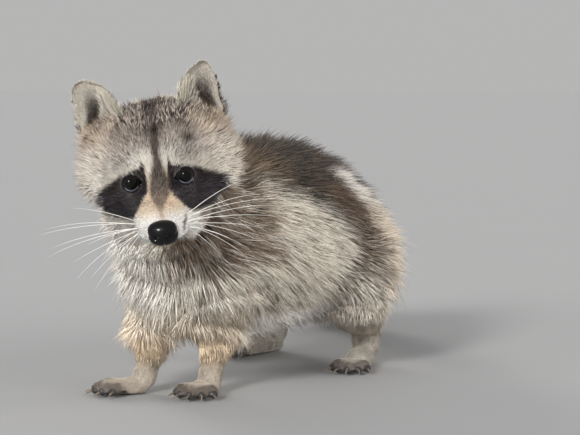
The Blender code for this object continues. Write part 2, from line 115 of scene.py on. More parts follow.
TIP_SHARE = 0.95  # of the coat's depth that a mean tip reaches
PLACE_SHARE = 0.65  # of a hair's length, where it takes its colour from the markings


def region_of(node):
    """The coat region that a solid belongs to."""
    return node.rsplit("_", 1)[0] if node.endswith(("_left", "_right")) else node.split("_")[0]


FLESH = [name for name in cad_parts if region_of(name) in REGIONS]


# ---------------------------------------------------------------- numbers
def ramp(value, low, high):
    """0 at low, 1 at high and smooth between; low may be the larger."""
    t = np.clip((np.asarray(value) - low) / (high - low), 0.0, 1.0)
    return t * t * (3.0 - 2.0 * t)


def ramp_mm(value, low, high):
    """The same ramp for a value in metres, from low to high in millimetres."""
    return ramp(value, low * MM, high * MM)


def hill_mm(*terms):
    """A smooth hill of height one, from values in metres, each with a middle and a width in millimetres."""
    return np.exp(-sum(((value - at * MM) / (wide * MM)) ** 2 for value, at, wide in terms))


def lengths(rows):
    """The length of each row."""
    return np.linalg.norm(rows, axis=1)


def unit(vectors):
    """Rows of vectors at length one."""
    return vectors / np.maximum(np.linalg.norm(vectors, axis=-1, keepdims=True), 1e-12)


def along_surface(ways, normals):
    """The part of each way that lies in the surface."""
    return ways - normals * (ways * normals).sum(1, keepdims=True)


def ripple(points, wavelength, seed):
    """Smooth noise of about -1 to 1 that wanders over the given wavelength."""
    chance = np.random.default_rng(seed)
    total = np.zeros(len(points))
    for _ in range(7):
        way = unit(chance.normal(size=3)) * 2 * math.pi / wavelength * chance.uniform(0.6, 1.5)
        total += np.sin(points @ way + chance.uniform(0, 2 * math.pi))
    return total / 3.0


def solid(node):
    """A solid's mesh."""
    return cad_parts[node].data


def middle(node):
    """The middle of a solid's box."""
    low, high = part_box(node)
    return (low + high) / 2


# ---------------------------------------------------------------- the head's own axes
def head_axes():
    """Origin midway between the eyes; rows of the matrix are left, back and up."""
    eyes = [middle(f"eye_{side}") for side in SIDES]
    origin = (eyes[0] + eyes[1]) / 2
    left = (eyes[0] - eyes[1]).normalized()
    to_nose = middle("nose") - origin
    to_nose = (to_nose - left * to_nose.dot(left)).normalized()
    rise = left.cross(to_nose)
    rise = rise if rise.z > 0 else -rise
    back = -math.cos(NOSE_FALL) * to_nose - math.sin(NOSE_FALL) * rise
    up = -math.sin(NOSE_FALL) * to_nose + math.cos(NOSE_FALL) * rise
    return np.array(origin), np.array([left, back, up])


HEAD_ORIGIN, HEAD_AXES = head_axes()
EYE_MIDDLES = {side: np.array(middle(f"eye_{side}")) for side in SIDES}


def in_head(points):
    """Row-frame points on the head's axes."""
    return (points - HEAD_ORIGIN) @ HEAD_AXES.T


def from_head(points):
    """Points on the head's axes, in the row frame."""
    return np.asarray(points) @ HEAD_AXES + HEAD_ORIGIN


FACE_SLOPE = (0.506, 0.862)  # back and up: the way up along the face


def face_height(back, up):
    """How high a place is along the slope of the face, from its back and up on the head's axes."""
    return back * FACE_SLOPE[0] + up * FACE_SLOPE[1]


def eye_gap(points):
    """How far each point is from the nearer eye's middle."""
    return np.minimum(*[lengths(points - EYE_MIDDLES[side]) for side in SIDES])


def eye_axes(side):
    """Rows: across the eye, up its opening, and the way that it looks."""
    out = unit(np.array(GAZE[side]) @ HEAD_AXES)
    up = unit(HEAD_AXES[2] - out * (HEAD_AXES[2] @ out))
    return np.array([np.cross(up, out), up, out])


NOSE_MIDDLE = in_head(np.array(middle("nose"))) + np.array((0.0003, 0.0, -0.0025))


# ---------------------------------------------------------------- meshes
def new_object(name, data):
    """A scene object that holds a mesh, a light or a camera."""
    made = bpy.data.objects.new(name, data)
    bpy.context.scene.collection.objects.link(made)
    return made


def dress(piece, slot, *replaced):
    """Says what a visible piece rides on and which solids it replaces; slot is not used."""
    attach(piece, "root")
    if replaced:
        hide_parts(*replaced)


def add_piece(name, mesh, material, slot, *replaced):
    """A visible piece of the animal, in place of the solids that it replaces."""
    mesh.materials.clear()
    mesh.materials.append(material)
    dress(new_object(name, mesh), slot, *replaced)


def building(*meshes):
    """A mesh to build on, which starts with the given ones."""
    whole = bmesh.new()
    for mesh in meshes:
        whole.from_mesh(mesh)
    return whole


def built(whole, mesh):
    """The mesh, holding what was built."""
    whole.to_mesh(mesh)
    whole.free()
    return mesh


def applied(made):
    """An object's mesh with its modifiers worked out."""
    graph = bpy.context.evaluated_depsgraph_get()
    return bpy.data.meshes.new_from_object(made.evaluated_get(graph))


def mesh_from(name, points, triangles):
    """A mesh of triangles from arrays."""
    mesh = bpy.data.meshes.new(name)
    mesh.vertices.add(len(points))
    mesh.vertices.foreach_set("co", np.asarray(points, np.float32).ravel())
    mesh.loops.add(3 * len(triangles))
    mesh.loops.foreach_set("vertex_index", np.asarray(triangles, np.int32).ravel())
    mesh.polygons.add(len(triangles))
    mesh.polygons.foreach_set("loop_start", np.arange(0, 3 * len(triangles), 3, dtype=np.int32))
    mesh.update(calc_edges=True)
    mesh.validate()
    mesh.shade_smooth()
    return mesh


def points_of(mesh):
    """The vertices' places, as rows."""
    points = np.empty(len(mesh.vertices) * 3, np.float32)
    mesh.vertices.foreach_get("co", points)
    return points.reshape(-1, 3).astype(float)


def put_points(mesh, points):
    """Moves a mesh's vertices."""
    mesh.vertices.foreach_set("co", np.asarray(points, np.float32).ravel())
    mesh.update()


def edges_of(mesh):
    """Pairs of vertex numbers."""
    pairs = np.empty(len(mesh.edges) * 2, np.int32)
    mesh.edges.foreach_get("vertices", pairs)
    return pairs.reshape(-1, 2)


def triangles_of(mesh):
    """Triangles as vertex numbers, and the loops that they use."""
    mesh.calc_loop_triangles()
    count = len(mesh.loop_triangles)
    corners, loops = np.empty(count * 3, np.int32), np.empty(count * 3, np.int32)
    mesh.loop_triangles.foreach_get("vertices", corners)
    mesh.loop_triangles.foreach_get("loops", loops)
    return corners.reshape(-1, 3), loops.reshape(-1, 3)


def normals_of(points, triangles):
    """Vertex normals, weighted by area."""
    a, b, c = (points[triangles[:, k]] for k in range(3))
    across = np.cross(b - a, c - a)
    total = np.zeros_like(points)
    for k in range(3):
        for axis in range(3):
            total[:, axis] += np.bincount(triangles[:, k], across[:, axis], len(points))
    return unit(total)


def even_out(values, edges, rounds, share=0.5):
    """Moves each value towards the mean of its neighbours', over and over."""
    values = np.array(values, float)
    flat = values.reshape(len(values), -1)
    ends = np.concatenate([edges[:, 0], edges[:, 1]])
    others = np.concatenate([edges[:, 1], edges[:, 0]])
    degree = np.maximum(np.bincount(ends, minlength=len(flat)), 1)
    for _ in range(rounds):
        for column in range(flat.shape[1]):
            total = np.bincount(ends, flat[others, column], len(flat))
            flat[:, column] += share * (total / degree - flat[:, column])
    return flat.reshape(values.shape)


def add_attribute(mesh, name, values):
    """Stores a number or a vector at each vertex, for the materials to read."""
    values = np.asarray(values, np.float32)
    kind, field = ("FLOAT", "value") if values.ndim == 1 else ("FLOAT_VECTOR", "vector")
    mesh.attributes.new(name, kind, "POINT").data.foreach_set(field, values.ravel())


# ---------------------------------------------------------------- skin
def ball_into(whole, centre, radius):
    """Adds a round filler to a mesh being built."""
    bmesh.ops.create_icosphere(whole, subdivisions=3, radius=radius, matrix=Matrix.Translation(centre))


FEET = [name for name in FLESH if "foot_" in name]


def claws_of(foot):
    """The middles of a foot's five claws."""
    return [middle(f"claw_{foot}_{number}") for number in range(1, 6)]


def palm_of(foot):
    """The point that a foot's digits fan out from, on the floor."""
    claws = claws_of(foot)
    across = (claws[-1] - claws[0]).normalized()
    ahead = Vector((across.y, -across.x, 0.0))
    ahead = ahead if ahead.y < 0 else -ahead
    return Vector((claws[2].x, claws[2].y, 0.0)) - ahead * DIGIT_REACH


def digits(foot):
    """Each digit of a foot as places along it with its radius there."""
    palm = palm_of(foot)
    lines = []
    for claw in claws_of(foot):
        way = Vector((claw.x, claw.y, 0.0)) - palm
        line = []
        for share, height, radius in DIGIT_SHAPE:
            place = palm + way * share
            place.z = height
            line.append((place, radius))
        lines.append(line)
    return lines


def flesh_mesh():
    """All the flesh solids, swollen so that they overlap, with the sockets of eyes and nose filled."""
    whole = building(*(solid(name) for name in FLESH))
    bmesh.ops.remove_doubles(whole, verts=whole.verts, dist=0.00002)
    whole.normal_update()
    for vertex in whole.verts:
        vertex.co += vertex.normal * SKIN_SWELL
    for side in SIDES:
        ball_into(whole, middle(f"eye_{side}"), EYE_RADIUS * 1.04)
    for step in (0.0, 0.004, 0.009):
        ball_into(whole, Vector(from_head(NOSE_MIDDLE + np.array((0.0, step, -0.0005)))), NOSE_FILL)
    for line in (line for foot in FEET for line in digits(foot)):
        for (one, thick), (other, thin) in zip(line, line[1:]):
            for k in range(4):
                ball_into(whole, one.lerp(other, k / 4), thick + (thin - thick) * k / 4)
        ball_into(whole, *line[-1])
    return built(whole, bpy.data.meshes.new("flesh"))


def largest_shell(mesh):
    """Keeps the mesh's largest connected shell."""
    whole = building(mesh)
    waiting, best = set(whole.verts), set()
    while waiting:
        group, edge = set(), [waiting.pop()]
        while edge:
            vertex = edge.pop()
            group.add(vertex)
            near = [link.other_vert(vertex) for link in vertex.link_edges]
            edge += [v for v in near if v in waiting]
            waiting.difference_update(near)
        best = max(best, group, key=len)
    bmesh.ops.delete(whole, geom=[v for v in whole.verts if v not in best], context="VERTS")
    built(whole, mesh)


def nearest_regions(points):
    """The name of each point's region, by the nearest solid."""
    corners, triangles, owner = [], [], []
    for number, name in enumerate(FLESH):
        mesh = solid(name)
        base = len(corners)
        corners += [vertex.co.copy() for vertex in mesh.vertices]
        faces = [[base + index for index in face.vertices] for face in mesh.polygons]
        triangles += faces
        owner += [number] * len(faces)
    tree = BVHTree.FromPolygons(corners, triangles)
    names = np.array([region_of(name) for name in FLESH])
    return names[[owner[tree.find_nearest(Vector(point))[2]] for point in points]]


def cheek_share(head):
    """1 on the ruff of the cheeks, from places on the head's axes."""
    share = ramp_mm(np.abs(head[:, 0]), 32, 56) * ramp_mm(head[:, 1], 0, 26)
    return share * ramp_mm(head[:, 2], 34, 8)


def jaw_share(head):
    """1 under the jaw and on the throat, from places on the head's axes."""
    return ramp_mm(face_height(head[:, 1], head[:, 2]), -46, -58)


def head_depth(head):
    """The coat's depth over the head in metres, from places on its axes."""
    depth = 1.3 + 1.3 * ramp_mm(head[:, 1], -22, 6) + 1.8 * ramp_mm(head[:, 1], 8, 44)
    depth += 6.5 * cheek_share(head) + 3.8 * jaw_share(head)
    return depth * MM


def coat_depth(points, region):
    """The coat's depth at points of the skin, whose regions are given."""
    depth = np.array([REGIONS[name][0] for name in region]) * MM
    head = region == "head"
    depth[head] = head_depth(in_head(points[head]))
    wrist, hock = region == "forearm", region == "shank"
    depth[wrist] *= 0.45 + 0.55 * ramp_mm(points[wrist, 2], 20, 62)
    depth[hock] *= 0.50 + 0.50 * ramp_mm(points[hock, 2], 40, 80)
    feet = np.isin(region, ["forefoot", "hindfoot"])
    depth[feet] *= ramp_mm(digit_gap(points[feet]), 0, 6)
    return depth


def digit_gap(points):
    """How far points lie from the fan of digits on the nearest foot."""
    gap = np.full(len(points), 1.0)
    for foot in FEET:
        for line in digits(foot):
            for place, radius in line:
                gap = np.minimum(gap, lengths(points - np.array(place)) - radius)
    return np.maximum(gap, 0.0)


def claw_gap(points):
    """How far each point is from the nearest claw's middle."""
    return np.min([lengths(points - np.array(claw)) for foot in FEET for claw in claws_of(foot)], 0)


def thin_out(made, share):
    """Fewer triangles where the long coat hides the skin; share is 1 there and 0 where none may go."""
    group = made.vertex_groups.new(name="hidden")
    for level in range(1, 5):
        group.add(np.flatnonzero(np.round(share * 4) == level).tolist(), level / 4, "REPLACE")
    fewer = made.modifiers.new("fewer", "DECIMATE")
    fewer.ratio = SKIN_KEPT
    fewer.vertex_group = "hidden"
    mesh = applied(made)
    made.modifiers.clear()
    made.vertex_groups.clear()
    made.data = mesh


def lay_skin():
    """The skin's mesh: the flesh solids fused, smoothed and drawn in by the coat's depth."""
    made = new_object("skin", flesh_mesh())
    remesh = made.modifiers.new("fuse", "REMESH")
    remesh.mode = "VOXEL"
    remesh.voxel_size = SKIN_VOXEL
    mesh = applied(made)
    made.modifiers.clear()
    made.data = mesh
    largest_shell(mesh)
    points, edges = points_of(mesh), edges_of(mesh)
    triangles, _ = triangles_of(mesh)
    region = nearest_regions(points)
    fine = even_out(np.isin(region, ["forefoot", "hindfoot", "ear"]) * 1.0, edges, 6)[:, None]
    head = even_out((region == "head") * 1.0, edges, 8)[:, None]
    first = even_out(points, edges, FINE_SMOOTHING)
    second = even_out(first, edges, HEAD_SMOOTHING - FINE_SMOOTHING)
    third = even_out(second, edges, BODY_SMOOTHING - HEAD_SMOOTHING)
    points = third + head * (second - third)
    points += fine * (first - points)
    depth = even_out(coat_depth(points, region), edges, COAT_EVENING)
    depth = depth * (1 - fine[:, 0]) + np.minimum(depth, 1.2 * MM) * fine[:, 0]
    steps = 6
    for _ in range(steps):
        normals = unit(normals_of(points, triangles))
        soft = even_out(normals, edges, 12)
        normals = unit(soft + fine * (normals - soft))
        points = points - normals * (depth / steps)[:, None]
        points += (1 - fine) * (even_out(points, edges, 1) - points)
    put_points(mesh, points)
    thin_out(made, np.clip(1.0 - 2.0 * fine[:, 0] - 2.0 * head[:, 0], 0.0, 1.0))
    return made


def unwrap(skin):
    """The skin's own map, which the tufts' patches use too."""
    bpy.context.view_layer.objects.active = skin
    skin.select_set(True)
    skin.data.uv_layers.new(name="OFBake")
    bpy.ops.object.mode_set(mode="EDIT")
    bpy.ops.mesh.select_all(action="SELECT")
    bpy.ops.uv.smart_project(angle_limit=math.radians(66), island_margin=0.002)
    bpy.ops.object.mode_set(mode="OBJECT")
    skin.select_set(False)


def refine(skin, near):
    """Splits the edges of the faces that near() picks by their middles."""
    whole = building(skin.data)
    middles = np.array([face.calc_center_median() for face in whole.faces])
    picked = near(middles)
    faces = [face for face, wanted in zip(whole.faces, picked) if wanted]
    edges = list({edge for face in faces for edge in face.edges})
    bmesh.ops.subdivide_edges(whole, edges=edges, cuts=1, use_grid_fill=True)
    built(whole, skin.data)


def near_face(middles):
    """Faces on the front of the head."""
    head = in_head(middles)
    return (head[:, 1] < 16 * MM) & (np.abs(head[:, 0]) < 42 * MM) & (np.abs(head[:, 2]) < 48 * MM)


def near_eyes(middles):
    """Faces round the eyes."""
    return eye_gap(middles) < 14 * MM


def eye_place(points, side):
    """Points on an eye's axes, from its middle."""
    return (points - EYE_MIDDLES[side]) @ eye_axes(side).T


def eye_ring(local, side):
    """1 at the edge of the lids' opening, less inside it; the opening runs to a corner towards the nose."""
    inward = -local[:, 0] * SIDES[side] * np.sign(eye_axes(side)[0] @ HEAD_AXES[0])
    corner = hill_mm((local[:, 1], -0.6, 2.2)) * ramp_mm(inward, 2, 7)
    wide = EYE_OPEN_WIDE + 1.5 * MM * corner
    high = EYE_OPEN_HIGH * np.where(local[:, 1] > 0, 0.97, 1.0)
    return np.hypot(local[:, 0] / wide, local[:, 1] / high)


def shape_lids(points, side):
    """Opens the skin over an eye and lays the lids round its ball."""
    local = eye_place(points, side)
    away = np.hypot(local[:, 0], local[:, 1])
    close = (away < 19 * MM) & (local[:, 2] > -9 * MM)
    ring = eye_ring(local, side)
    lid_radius = EYE_RADIUS + LID_THICKNESS
    on_ball = np.sqrt(np.maximum(lid_radius**2 - away**2, (3.2 * MM) ** 2))
    tuck = ramp(ring, 0.90, 1.0)
    lid = on_ball * tuck + (1 - tuck) * -4.5 * MM
    hold = ramp_mm(away, 8.4, 14.5)
    wanted = lid * (1 - hold) + local[:, 2] * hold
    above = ramp_mm(local[:, 1], -1, 4)
    crease = hill_mm((away, 10.8, 0.9)) * (0.25 + 0.35 * above) * MM
    lip = np.exp(-(((ring - 1.12) / 0.10) ** 2)) * (0.15 + 0.45 * above) * MM
    local[:, 2] = np.where(close, wanted - crease + lip * tuck, local[:, 2])
    return local @ eye_axes(side) + EYE_MIDDLES[side]


def shape_face(points):
    """The folds of the face, a flat crown between the ears, and the ears' tips."""
    head = in_head(points)
    side, back, up = np.abs(head[:, 0]), head[:, 1], head[:, 2]
    outward = unit(head - np.array((0.0, 4 * MM, -20 * MM)))
    front = ramp_mm(back, 12, -2)
    pad = hill_mm((side, 15, 9), (back, -38, 12), (up, -27, 8))
    bridge = hill_mm((side, 0, 8), (up, -1, 12)) * front
    mouth_height = -36.5 * MM + 6.0 * MM * ramp_mm(back, -46, -20) * ramp_mm(back, 8, -16)
    mouth = hill_mm((up - mouth_height, 0, 1.3)) * ramp_mm(side, 3, 7)
    mouth *= ramp_mm(back, 2, -8)
    hollow = hill_mm((side, 30, 8), (up, -18, 10)) * front
    move = 1.6 * MM * pad - 1.3 * MM * mouth - 1.6 * MM * hollow + 0.4 * MM * bridge
    head = head + outward * move[:, None]

    # The crown is flat from ear to ear.
    sunk = ramp_mm(up, 24, 42) * ramp_mm(back, 82, 56)
    head[:, 2] -= sunk * MM * (3.0 * ramp_mm(side, 36, 16) + 4.5 * ramp_mm(side, 22, 4))

    # The ears: the right one is cut lower at the tip, and the left one is narrower.
    tall = face_height(back, up)
    for way, start, share, narrow in ((-1, 7 * MM, 0.50, 0.0), (1, 4 * MM, 0.10, 4.5 * MM)):
        ear = (head[:, 0] * way > 30 * MM) & (back > 30 * MM) & (tall > 48 * MM)
        over = np.maximum(head[:, 2] - head[ear, 2].max() + start, 0)
        head[:, 2] -= share * over * ear
        middle_x = (head[ear, 0].max() + head[ear, 0].min()) / 2
        outer = ramp(way * (head[:, 0] - middle_x), 0, np.ptp(head[ear, 0]) / 2)
        head[:, 0] -= narrow * outer * ear * ramp_mm(tall, 48, 64)
    return from_head(head)


def make_skin():
    """The skin, refined and sculpted."""
    skin = lay_skin()
    unwrap(skin)
    refine(skin, near_face)
    refine(skin, near_eyes)
    whole = building(skin.data)
    bmesh.ops.triangulate(whole, faces=whole.faces)
    built(whole, skin.data)
    points, edges = points_of(skin.data), edges_of(skin.data)
    points = np.where(near_face(points)[:, None], even_out(points, edges, 3), points)
    points = shape_face(points)
    for side in SIDES:
        points = shape_lids(points, side)
    put_points(skin.data, points)
    skin.data.shade_smooth()
    return skin


# ---------------------------------------------------------------- how the coat lies
def tail_line():
    """The tail's middle line, from root to tip, as rows."""
    points = np.vstack([points_of(solid(f"tail_{part}")) for part in ("root", "middle", "tip")])
    start, end = np.array(middle("tail_root")), np.array(middle("tail_tip"))
    way = unit(end - start)
    along = (points - start) @ way
    marks = np.linspace(along.min(), along.max(), 9)
    rows = []
    for low, high in zip(marks, marks[1:]):
        slab = points[(along >= low) & (along <= high)]
        rows.append((slab.min(0) + slab.max(0)) / 2)
    return np.array(rows)


TAIL_LINE = tail_line()


def along_line(points, line):
    """Each point's share along a line and the line's direction there."""
    length = np.concatenate([[0.0], np.cumsum(lengths(np.diff(line, axis=0)))])
    best, share, way = np.full(len(points), 9.0), np.zeros(len(points)), np.zeros_like(points)
    for k in range(len(line) - 1):
        step = line[k + 1] - line[k]
        reach = step @ step
        t = (points - line[k]) @ step / reach
        t = np.clip(t, 0.0 if k else -2.0, 1.0 if k < len(line) - 2 else 3.0)
        gap = lengths(points - line[k] - t[:, None] * step)
        closer = gap < best
        best = np.where(closer, gap, best)
        share = np.where(closer, (length[k] + t * math.sqrt(reach)) / length[-1], share)
        way = np.where(closer[:, None], unit(step), way)
    return share, way


def ear_base(side):
    """The middle of an ear's lower edge, on the head's axes."""
    corners = in_head(points_of(solid(f"ear_{side}")))
    low = corners[corners[:, 2] < corners[:, 2].min() + 12 * MM]
    return (low.min(0) + low.max(0)) / 2


def lie_of(region, points):
    """Which way the hair lies over a region."""
    head = in_head(points)
    outward = np.sign(head[:, 0])
    if region == "head":
        way = unit(head - np.array((0.0, -64 * MM, -14 * MM))) + np.array((0.0, 0.35, 0.0))
        low = ramp_mm(head[:, 2], 0, -30)
        way[:, 2] -= 0.55 * low
        way[:, 0] += 0.30 * outward * ramp_mm(np.abs(head[:, 0]), 22, 45)
        way += np.array((0.0, 0.9, -0.6)) * jaw_share(head)[:, None]
        return way @ HEAD_AXES
    if region == "ear":
        base = np.where((outward > 0)[:, None], ear_base("left"), ear_base("right"))
        way = unit(head - base + np.array((0.0, 0.0, 8 * MM)))
        return way @ HEAD_AXES
    if region == "tail":
        return along_line(points, TAIL_LINE)[1]
    return np.tile(np.array(HAIR_WAYS[region]), (len(points), 1))


class Coat:
    """What each vertex of the skin says about the coat that grows there."""

    def __init__(self, skin):
        mesh = skin.data
        self.points, self.edges = points_of(mesh), edges_of(mesh)
        self.triangles, loops = triangles_of(mesh)
        uv = np.empty(len(mesh.loops) * 2, np.float32)
        mesh.uv_layers["OFBake"].uv.foreach_get("vector", uv)
        self.uv = uv.reshape(-1, 2)[loops]
        self.normals = normals_of(self.points, self.triangles)
        self.region = nearest_regions(self.points)
        table = np.array([REGIONS[name] for name in self.region], float)
        self.depth = coat_depth(self.points, self.region)
        self.length, self.width = table[:, 1] * MM, table[:, 2] * MM
        self.density = table[:, 3] * 1e4
        self.way = np.zeros_like(self.points)
        for name in REGIONS:
            here = self.region == name
            self.way[here] = unit(lie_of(name, self.points[here]))
        self.ear = self.ear_places()
        self.by_place()
        for field in ("depth", "length", "width", "density"):
            setattr(self, field, even_out(getattr(self, field), self.edges, COAT_EVENING))
        self.way = even_out(self.way, self.edges, WAY_EVENING)
        crown = self.parts_of("head") * ramp_mm(in_head(self.points)[:, 2], 18, 34)
        lean = np.clip(TIP_SHARE * self.depth / self.length * (1 - 0.45 * crown), 0.12, 0.72)
        self.lift = np.degrees(np.arcsin(lean))
        self.density[self.bare()] = 0.0
        share = along_line(self.points, TAIL_LINE)[0]
        self.tail = np.where(self.region == "tail", np.clip(share, 0.0, 1.0), -1.0)
        legs = self.parts_of("forearm", "shank", "forefoot", "hindfoot")
        feet = self.parts_of("forefoot", "hindfoot")
        head, ears = self.parts_of("head"), self.parts_of("ear")
        self.parts = even_out(np.stack([head, ears, legs], 1), self.edges, PARTS_EVENING)
        self.parts[:, 1] = even_out(ears, self.edges, 2)
        self.foot = even_out(feet * (1 + ramp_mm(claw_gap(self.points), 20, 8)), self.edges, 4)
        flat = unit(along_surface(self.way, self.normals))
        aside = PLACE_SHARE * self.length[:, None] * flat * np.cos(np.radians(self.lift))[:, None]
        self.place = self.points + aside + PLACE_SHARE * self.depth[:, None] * self.normals

    def parts_of(self, *names):
        """1 on the named regions."""
        return np.isin(self.region, names) * 1.0

    def put(self, field, here, values):
        """Gives a field other values on part of the skin."""
        setattr(self, field, np.where(here, values, getattr(self, field)))

    def by_place(self):
        """Length, width, density, depth and lie where they change within a region."""
        head = in_head(self.points)
        back = head[:, 1]
        length = 3.0 + 3.2 * ramp_mm(back, -20, 8) + 3.4 * ramp_mm(back, 8, 44)
        length += 7.0 * cheek_share(head) + 6.0 * jaw_share(head)
        length *= 0.42 + 0.58 * ramp_mm(eye_gap(self.points), 9, 22)
        here = self.region == "head"
        self.put("length", here, length * MM)
        fine = ramp_mm(self.length, 3, 18)
        self.put("width", here, (0.40 + 0.48 * fine) * MM)
        self.put("density", here, (190 - 115 * fine) * 1e4)

        ear = self.region == "ear"
        rim, facing, height = self.ear.T
        behind = ramp(facing, 0.0, -0.4) * ramp(height, 0.80, 0.1) * ramp(rim, 0.94, 0.74)
        fringe = ear * self.ear_fringe * ramp(facing, 0.0, 0.4) * ramp(height, 0.85, 0.55)
        tip = ramp(height, 0.70, 0.95)
        rim_hair = ramp(rim, 0.62, 0.95) * (1 - tip)
        self.put("length", ear, (3.2 + 1.8 * rim_hair - 1.4 * tip + 6.5 * behind) * MM)
        self.length += 9.0 * MM * fringe
        self.put("depth", ear, (0.9 + 0.8 * rim_hair - 0.5 * tip + 1.9 * behind) * MM)
        self.depth += 1.8 * MM * fringe
        outward, same = np.sign(head[:, 0]), np.ones(len(head))
        for share, way in ((2.2 * fringe, (0.8, -0.45, 0.35)), (1.4 * (ear * behind), (1.0, 0.25, 0.2))):
            sweep = np.stack([way[0] * outward, way[1] * same, way[2] * same], 1) @ HEAD_AXES
            self.way = unit(self.way + share[:, None] * sweep)

        belly = ramp(self.normals[:, 2], -0.35, -0.9)
        trunk = self.region == "trunk"
        self.put("length", trunk, self.length * (1 - 0.20 * belly))
        self.put("density", trunk, self.density * (1 - 0.50 * belly))
        bib = ramp(self.points[:, 1], -0.190, -0.220) * ramp(self.points[:, 2], 0.045, 0.075)
        self.put("depth", trunk | (self.region == "neck"), self.depth * (1 + 0.40 * bib))
        high = self.points[:, 2]
        forearm, shank = self.region == "forearm", self.region == "shank"
        self.put("length", forearm, (5 + 16 * ramp_mm(high, 20, 66)) * MM)
        self.put("length", shank, (6 + 12 * ramp_mm(high, 36, 86)) * MM)
        share = along_line(self.points, TAIL_LINE)[0]
        tail = self.region == "tail"
        self.put("length", tail, self.length * (1 - 0.30 * ramp(share, 0.80, 1.1)))

    def bare(self):
        """Where no hair grows: inside the lids, on the nose, under the feet and on the digits."""
        hairless = np.zeros(len(self.points), bool)
        for side in SIDES:
            local = eye_place(self.points, side)
            hairless |= (eye_ring(local, side) < 1.13) & (np.abs(local[:, 2]) < 12 * MM)
        head = in_head(self.points)
        hairless |= lengths((head - NOSE_MIDDLE) / np.array((12.2, 10.2, 10.9)) / MM) < 1.0
        hairless |= self.points[:, 2] < 1.5 * MM
        under = (digit_gap(self.points) < 1.4 * MM) & (self.points[:, 2] < 5.5 * MM)
        return hairless | under | (claw_gap(self.points) < 6.2 * MM)

    def ear_places(self):
        """For the ears: how near the rim, whether inside the cup, and the share of the height."""
        places = np.zeros_like(self.points)
        self.ear_fringe = np.zeros(len(self.points))
        for side in SIDES:
            corners = in_head(points_of(solid(f"ear_{side}")))
            base, top = corners[:, 2].min(), corners[:, 2].max()
            here = (self.region == "ear") & (in_head(self.points)[:, 0] * SIDES[side] > 0)
            if not here.any():
                continue
            head = in_head(self.points[here])
            height = np.clip((head[:, 2] - base) / (top - base), 0, 1)
            line = [corners[np.abs(corners[:, 2] - level) < 8 * MM] for level in np.linspace(base, top, 6)]
            mids = np.array([(rows.min(0) + rows.max(0)) / 2 for rows in line if len(rows)])
            halves = np.array([np.ptp(rows[:, 0]) / 2 for rows in line if len(rows)])
            level = np.linspace(base, top, len(mids))
            centre = np.interp(head[:, 2], level, mids[:, 0])
            half = np.interp(head[:, 2], level, halves)
            across = np.clip(np.abs(head[:, 0] - centre) / half, 0, 1)
            fringe = ramp(SIDES[side] * (centre - head[:, 0]) / half, -0.05, 0.40)
            self.ear_fringe[here] = fringe
            facing = (self.normals[here] @ HEAD_AXES.T) @ unit(np.array((0.30 * SIDES[side], -1.0, 0.1)))
            rim = np.maximum(np.maximum(across, ramp(height, 0.78, 0.98)), 0.60 * fringe * (facing > 0))
            places[here] = np.stack([rim, facing, height], 1)
        return places


# ---------------------------------------------------------------- tufts
def locks(points, size, seed):
    """For each point, the mean of the points in its cell of a jittered grid."""
    chance = np.random.default_rng(seed)
    wobble = np.stack([ripple(points, size * 5, seed + k) for k in range(3)], 1) * size * 0.5
    cells = np.floor((points + wobble + chance.uniform(0, size, 3)) / size).astype(np.int64)
    key = cells[:, 0] * 73856093 + cells[:, 1] * 19349663 + cells[:, 2] * 83492791
    _, group, count = np.unique(key, return_inverse=True, return_counts=True)
    sums = np.stack([np.bincount(group, points[:, k]) for k in range(3)], 1)
    return (sums / count[:, None])[group]


def scatter(coat, corners, kind, chance):
    """Where tufts of a kind grow: for each tuft its triangle, and its shares of the triangle's corners."""
    a, b, c = (coat.points[corners[:, k]] for k in range(3))
    area = np.linalg.norm(np.cross(b - a, c - a), axis=1) / 2
    weight = area * coat.density[corners].mean(1) * kind.share * (coat.density[corners].min(1) > 0)
    long = coat.length[corners].mean(1) / MM
    low, high = kind.span
    weight = weight * ramp(long, low - 1, low + 1) * ramp(long, high + 1, high - 1)
    ladder = np.cumsum(weight)
    count = int(ladder[-1])
    marks = (np.arange(count) + chance.uniform(0, 1, count)) * ladder[-1] / count
    face = np.searchsorted(ladder, marks)
    r, s = np.sqrt(chance.uniform(0, 1, count)), chance.uniform(0, 1, count)
    return face, np.stack([1 - r, r * (1 - s), r * s], 1)


def tuft_faces(rings):
    """The triangles of one closed tuft, which has rings of three points and then its tip."""
    faces = [(0, 1, 2)]
    for k in range(rings - 1):
        for m in range(3):
            one, two = 3 * k + m, 3 * k + (m + 1) % 3
            faces += [(one, one + 3, two + 3), (one, two + 3, two)]
    last, tip = 3 * (rings - 1), 3 * rings
    faces += [(last + m, tip, last + (m + 1) % 3) for m in range(3)]
    return np.array(faces)


